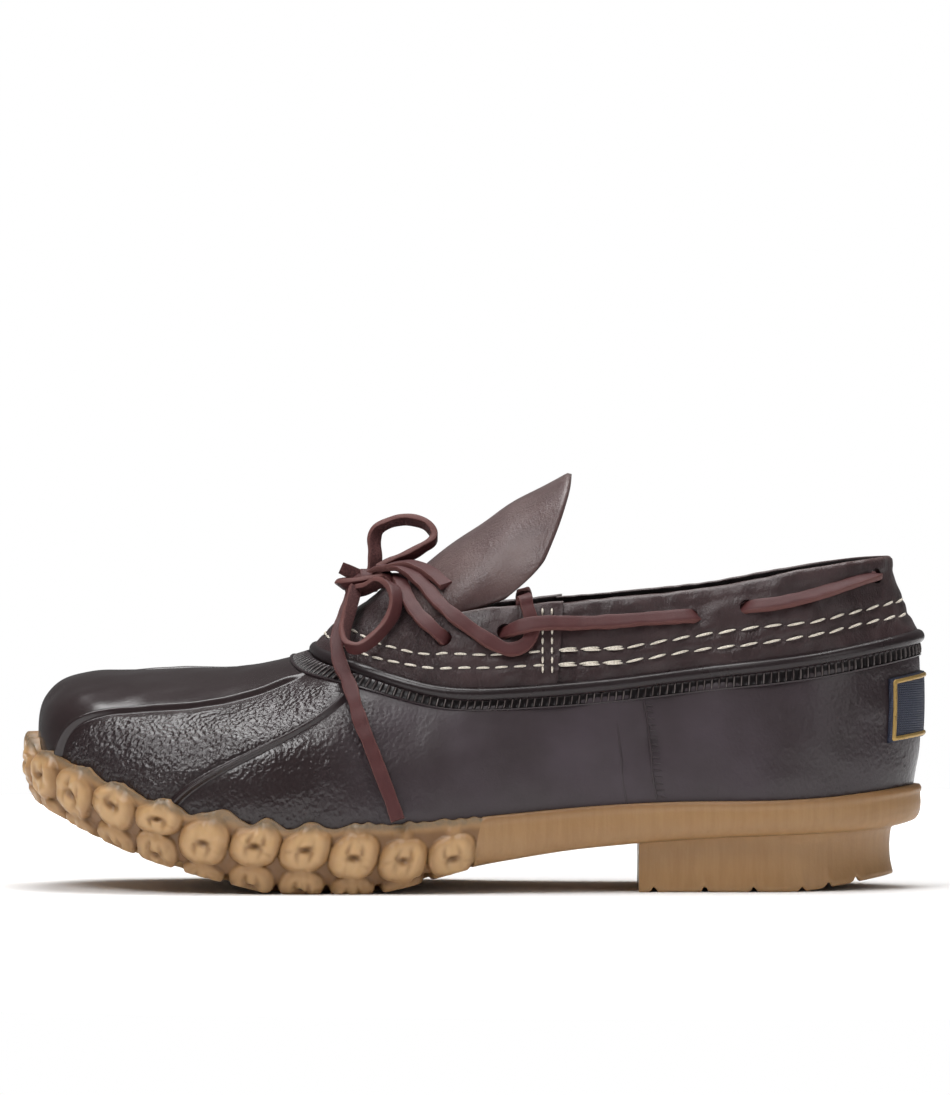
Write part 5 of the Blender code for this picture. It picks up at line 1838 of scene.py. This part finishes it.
LOOP_NEAR: Route = (
    (110.8, -9.4, 98.0), (113.9, -12.6, 98.9), (118.3, -16.3, 101.0), (122.2, -21.8, 99.8),
    (123.6, -26.6, 96.2), (122.8, -29.1, 91.2), (119.6, -31.0, 86.2), (115.4, -32.6, 82.2),
    (111.2, -33.4, 79.9), (107.8, -32.4, 80.9), (106.8, -28.6, 84.6), (107.7, -22.6, 89.6),
    (109.1, -16.6, 94.6), (110.3, -10.8, 98.8),
)
END_LONG: Route = (
    (110.6, -5.6, 99.8), (109.4, -7.8, 97.6), (108.4, -10.8, 94.4), (106.9, -14.8, 90.2),
    (105.1, -19.2, 85.6), (104.2, -23.4, 81.4), (104.6, -27.4, 77.4), (106.0, -31.6, 73.2),
    (108.0, -37.0, 69.3), (110.0, -42.2, 63.5), (112.5, -46.4, 55.5), (115.3, -49.0, 48.8),
    (119.3, -51.6, 38.5), (122.6, -53.2, 29.9), (124.4, -54.6, 24.6),
)
END_SHORT: Route = (
    (116.2, -3.2, 103.4), (119.6, -4.6, 105.2), (124.0, -6.4, 106.6), (128.6, -9.2, 106.8),
    (133.0, -14.0, 105.4), (137.0, -20.4, 102.8), (140.2, -25.4, 100.2),
)
# Directions of the lace's width along a run, spaced evenly from its start to its end
LOOP_UPPER_WIDTH: Route = (
    (0.9, 0.4, 0), (0.9, 0.4, 0), (0.8, 0.6, -0.2), (0, 0.78, -0.62), (0, 0.78, -0.62),
    (0, 0.8, -0.6), (0, 0.75, -0.66), (0, 0.75, -0.66), (0, 0.8, -0.6),
)
LOOP_NEAR_WIDTH: Route = (
    (0.2, 0.75, -0.6), (0.3, 0.75, -0.6), (0.75, 0.65, 0), (0.75, 0.6, -0.2), (0.3, 0.6, -0.75),
    (0.2, 0.6, -0.75), (0.5, 0.8, 0), (0.7, 0.7, 0), (0.7, 0.7, 0),
)


@dataclass
class Lace:
    """The rawhide lace: its runs along the collar, hitches, crossing, knot, loops and ends."""

    width: float = 0.0046
    thick: float = 0.0020
    knot_middle: tuple[float, float, float] = (112.2, -3.0, 101.5)
    spacing: float = 0.0008
    arch_axis: float = 0.065
    # The cut strip's section, as shares of half its width and half its thickness
    section: tuple[tuple[float, float], ...] = (
        (1.0, -0.50), (1.0, 0.50), (0.94, 0.86), (0.80, 1.0), (0.40, 1.0), (0.0, 1.0),
        (-0.40, 1.0), (-0.80, 1.0), (-0.94, 0.86), (-1.0, 0.50), (-1.0, -0.50), (-0.94, -0.86),
        (-0.80, -1.0), (-0.40, -1.0), (0.0, -1.0), (0.40, -1.0), (0.80, -1.0), (0.94, -0.86),
    )

    snug: float = 0.95
    knot_rings: tuple[tuple[float, ...], ...] = (
        # radius along x and along y, height and its rise towards the heel, lean outward and up
        (6.9, 5.6, -0.6, 1.1, 0.80, 0.60),
        (4.9, 4.3, -2.4, 0.6, 0.25, 0.97),
    )
    knot_turns: tuple[tuple[Route, Route], ...] = (
        # points from the knot's middle, and directions of the lace's width
        (
            ((1.2, 5.2, -1.6), (1.4, 3.4, 1.4), (1.5, 0, 2.7), (1.6, -3.2, 1.3), (1.6, -4.6, -1.6)),
            ((1, 0, 0), (1, 0, 0)),
        ),
        (
            ((-4.6, 0.5, -2), (-1, -0.6, 0.8), (3.6, -0.6, 1.6), (8, -2, 1.4), (11, -4, -1.2)),
            ((0, 1, 0.2), (0, 0.85, 0.55)),
        ),
        (
            ((1.5, 1.2, 0.4), (-1.8, 0.6, 1.6), (-4.4, 0.2, 2.8), (-6.8, 0.0, 3.9)),
            ((0.1, 0.5, 0.9), (0.3, 0.2, 1.0)),
        ),
    )

    def on_leather(self, run: Route, side: Side) -> Array:
        """Points of a run over the leather, in metres, on one side of the foot."""
        u, t, lift = np.array(run).T
        u = u if side is Side.OUTER else 1 - u
        return FORM.lifted(FORM.leather, u, t, lift * MM)

    def free(self, route: Route, side: Side) -> Array:
        """Points of a free run, in metres, on one side of the foot."""
        return np.array(route) * np.array([1, -side.value, 1]) * MM

    def across(self, middle: Array, width_ways: Route | None) -> Array:
        """Direction of the lace's width: across its run and flat on the shoe, or read from a table.

        On the shoe it is the product of the way out from the foot's axis and the way along,
        softened over a few millimetres, so that it holds where the lace dives through a hole.
        """
        tangent = unit(np.gradient(middle, axis=0))
        if width_ways is None:
            rise = np.maximum(middle[:, 2] - self.arch_axis, 0)
            outer = unit(np.stack([0 * middle[:, 0], middle[:, 1], rise], axis=1))
            way = np.cross(outer, tangent)
            window = np.hanning(15)
            padded = np.pad(way, ((7, 7), (0, 0)), mode="edge")
            way = np.stack([np.convolve(padded[:, k], window, "valid") for k in range(3)], axis=1)
        else:
            share = np.linspace(0, 1, len(middle))
            at = np.linspace(0, 1, len(width_ways))
            way = np.stack([np.interp(share, at, column) for column in zip(*width_ways)], axis=1)
        return square_to(tangent, way)

    def ribbon(
        self, part: MeshPart, middle: Array, way: Array, grow: float = 1.0, closed: bool = False
    ) -> None:
        """A flat strip: the cut section carried along the run, a little uneven as hide is."""
        tangent = ring_tangent(middle) if closed else unit(np.gradient(middle, axis=0))
        flat = np.cross(tangent, way)
        wide = self.width / 2 * grow * (1 + 0.05 * waves(middle, 0.009, 51))[:, None]
        thick = self.thick / 2 * grow * (1 + 0.10 * waves(middle, 0.006, 52))[:, None]
        rows = np.array([middle + way * wide * a + flat * thick * b for a, b in self.section])
        a, b = np.array(self.section).T[:, :, None]
        edge = np.clip((np.abs(a) - 0.85) / 0.12, 0, 1) + 0 * rows[..., 0]
        flesh = (b < -0.7) * 1.0 + 0 * rows[..., 0]
        n = part.add_grid(rows, True, closed, edge=edge, flesh=flesh)
        if not closed:
            part.add_cap(n[:, 0])
            part.add_cap(n[:, -1])

    def strand(
        self, name: str, points: Array, hide: bpy.types.Material, width_ways: Route | None = None
    ) -> tuple[bpy.types.Object, Array]:
        """One length of lace along its points, with the middle line that it follows."""
        middle = smooth_route(points, self.spacing)
        part = MeshPart(name)
        self.ribbon(part, middle, self.across(middle, width_ways))
        return part.make([hide], 35), middle - TO_HEEL

    def knot(self, hide: bpy.types.Material) -> bpy.types.Object:
        """The knot: a wide ring like a brim, a tighter ring under it, two turns over and a stub.

        The rings are ellipses; the brim's strip leans out and up, and hangs lower towards the toe.
        """
        part = MeshPart("lace_knot_turns")
        centre = np.array(self.knot_middle) * MM
        angle = circle(100)
        level = np.array([1, 1, 0])
        for long, wide, low, tilt, out, up in self.knot_rings:
            turn = [long * np.cos(angle), wide * np.sin(angle), low + tilt * np.cos(angle)]
            ring = centre + np.stack(turn, axis=1) * MM
            way = unit((ring - centre) * level) * out + UP * up
            self.ribbon(part, ring, square_to(ring_tangent(ring), way), self.snug, closed=True)
        for points, width_ways in self.knot_turns:
            line = smooth_route(centre + np.array(points) * MM, self.spacing)
            self.ribbon(part, line, self.across(line, width_ways), self.snug)
        return part.make([hide], 35)

    def build(self, hide: bpy.types.Material) -> None:
        pieces = []
        for word, side in (("outer", Side.OUTER), ("inner", Side.INNER)):
            run = self.on_leather(COLLAR_RUN, side)
            piece, _ = self.strand(f"lace_collar_{word}", run, hide)
            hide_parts(f"lace_collar_rear_{word}", f"lace_collar_front_{word}")
            pieces.append(piece)
            start, end = self.free(HITCH_START, side), self.free(HITCH_END, side)
            run = np.concatenate([start, self.on_leather(HITCH_RUN, side), end])
            piece, _ = self.strand(f"lace_hitch_{word}_run", run, hide)
            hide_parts(f"lace_hitch_{word}")
            pieces.append(piece)
        near, far = (
            np.concatenate([self.on_leather(CROSSING_RUN, side), self.free(CROSSING_TOP, side)])
            for side in (Side.OUTER, Side.INNER)
        )
        crossing, _ = self.strand("lace_crossing_run", np.concatenate([near, far[-2::-1]]), hide)
        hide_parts("lace_crossing")
        knot = self.knot(hide)
        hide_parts("lace_knot")
        pieces += [crossing, knot]
        for name, route, width_ways, end in (
            ("lace_loop_upper", LOOP_UPPER, LOOP_UPPER_WIDTH, "object"),
            ("lace_loop_near", LOOP_NEAR, LOOP_NEAR_WIDTH, "object"),
            ("lace_end_long", END_LONG, None, "bare"),
            ("lace_end_short", END_SHORT, None, "bare"),
        ):
            piece, line = self.strand(f"{name}_strand", np.array(route) * MM, hide, width_ways)
            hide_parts(name)
            pieces.append(piece)


# The studio


@dataclass
class Studio:
    """Camera at the photograph's angle, a pale floor and soft lamps."""

    frame: tuple[int, int] = (950, 1095)
    pixels_per_metre: float = 3030.0
    lens: float = 450.0
    sensor: float = 36.0
    elevation: float = 1.6
    middle: tuple[float, float, float] = (-0.0834, 0.0, 0.1120)
    lit: tuple[float, float, float] = (-0.085, 0.0, 0.06)
    floor_level: float = -0.00002
    dome: float = 12.0

    def camera(self) -> None:
        """A long lens that looks along +Y at the side of the shoe, from a little above.

        The distance is the picture's height in metres over twice the tangent of half its angle.
        """
        lens = bpy.data.cameras.new("side_camera")
        lens.lens, lens.sensor_width = self.lens, self.sensor
        camera = placed("side_camera", lens)
        tall = self.frame[1] / self.pixels_per_metre
        away = tall / 2 / (self.sensor / 2 / self.lens)
        angle = math.radians(self.elevation)
        back = Vector((0, -math.cos(angle), math.sin(angle)))
        camera.location = Vector(self.middle) + back * away
        camera.rotation_mode = "QUATERNION"
        camera.rotation_quaternion = (-back).to_track_quat("-Z", "Y")
        bpy.context.scene.camera = camera

    def lamp(self, name: str, place: Sequence[float], size: float, power: float) -> None:
        """A soft square lamp that faces the shoe."""
        data = bpy.data.lights.new(name, "AREA")
        data.energy, data.size = power, size
        lamp = placed(name, data)
        lamp.location = Vector(place)
        aim = Vector(self.lit) - Vector(place)
        lamp.rotation_mode = "QUATERNION"
        lamp.rotation_quaternion = aim.to_track_quat("-Z", "Y")

    def bowl(
        self, name: str, reach: Array, rise: Array, finish: bpy.types.Material
    ) -> bpy.types.Object:
        """A round surface of level rings, whose faces look up and in.

        Args:
            name: the object's name.
            reach: the rings' radii.
            rise: the rings' heights.
            finish: its material.

        Returns:
            The object.
        """
        angle = circle(96)
        ring = np.stack([np.cos(angle), np.sin(angle), 0 * angle], axis=1)
        rows = reach[:, None, None] * ring[None] + rise[:, None, None] * UP
        n = np.arange(rows[..., 0].size).reshape(rows.shape[:2])
        n = np.concatenate([n, n[:, :1]], axis=1)
        cells = np.stack([n[:-1, :-1], n[1:, :-1], n[1:, 1:], n[:-1, 1:]], axis=-1)
        mesh = bpy.data.meshes.new(name)
        mesh.from_pydata(rows.reshape(-1, 3).tolist(), [], cells.reshape(-1, 4).tolist())
        mesh.materials.append(finish)
        made = placed(name, mesh)
        return made

    def build(self, floor_finish: bpy.types.Material, sky_finish: bpy.types.Material) -> None:
        """The floor, surroundings that only the camera sees, the lamps and a dim even light."""
        reach = np.array([1e-4, 0.2, 0.35, 0.5, 0.7])
        self.bowl("floor", reach, np.full(len(reach), self.floor_level), floor_finish)
        tilt = np.linspace(0.0, math.pi / 2 - 0.001, 22)
        reach = np.concatenate([[0.7, 1.5, 4.0], self.dome * np.cos(tilt)])
        rise = np.concatenate([[0, 0, 0], self.dome * np.sin(tilt)]) + self.floor_level
        sky = self.bowl("pale_dome", reach, rise, sky_finish)
        sky.visible_diffuse = sky.visible_glossy = sky.visible_shadow = False
        sky.visible_transmission = False
        self.lamp("key_lamp", (-0.75, -0.9, 1.35), 0.7, 16.0)
        self.lamp("top_lamp", (-0.05, 0.25, 1.5), 1.1, 27.0)
        self.lamp("fill_lamp", (1.1, -1.1, 0.7), 0.9, 3.5)
        world = bpy.data.worlds.new("surroundings")
        world.use_nodes = True
        ground = world.node_tree.nodes["Background"]
        ground.inputs["Color"].default_value = (1, 1, 1, 1)
        ground.inputs["Strength"].default_value = 0.16
        bpy.context.scene.world = world
        bpy.context.scene.view_settings.view_transform = "Standard"


def inner_sole(lining: bpy.types.Material) -> None:
    """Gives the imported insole, whose shape is right, its lining finish."""
    node = bpy.data.objects["insole"]
    node.data.materials.clear()
    node.data.materials.append(lining)


def clear_scene() -> None:
    """Removes everything that the startup scene holds."""
    for thing in list(bpy.data.objects):
        bpy.data.objects.remove(thing)


def main() -> None:
    """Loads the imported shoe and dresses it, piece by piece."""
    logging.basicConfig(level=logging.INFO, format="%(message)s")
    clear_scene()
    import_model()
    Studio().camera()
    rubber, gum = RubberFinish().make(), GumFinish().make()
    leather = LeatherFinish().make("dark_leather")
    soft = LeatherFinish(
        colour=(0.058, 0.027, 0.0265), worn=(0.112, 0.068, 0.062), rough=0.34, sheen=0.12
    ).make("tongue_leather")
    flesh = FleshFinish().make("flesh_side")
    lining = FleshFinish(colour=(0.010, 0.009, 0.009), fibre=(0.022, 0.019, 0.019)).make("lining")
    Lace().build(RawhideFinish().make())
    RubberShell().build(rubber, lining)
    GumSole().build(gum)
    LeatherUpper().build(leather, flesh, ThreadFinish().make())
    Tongue().build(soft, flesh)
    HeelLabel().build(WovenFinish().make(), GiltFinish().make())
    inner_sole(lining)
    Studio().build(FloorFinish().make(), DomeFinish().make())


if __name__ == "__main__":
    main()
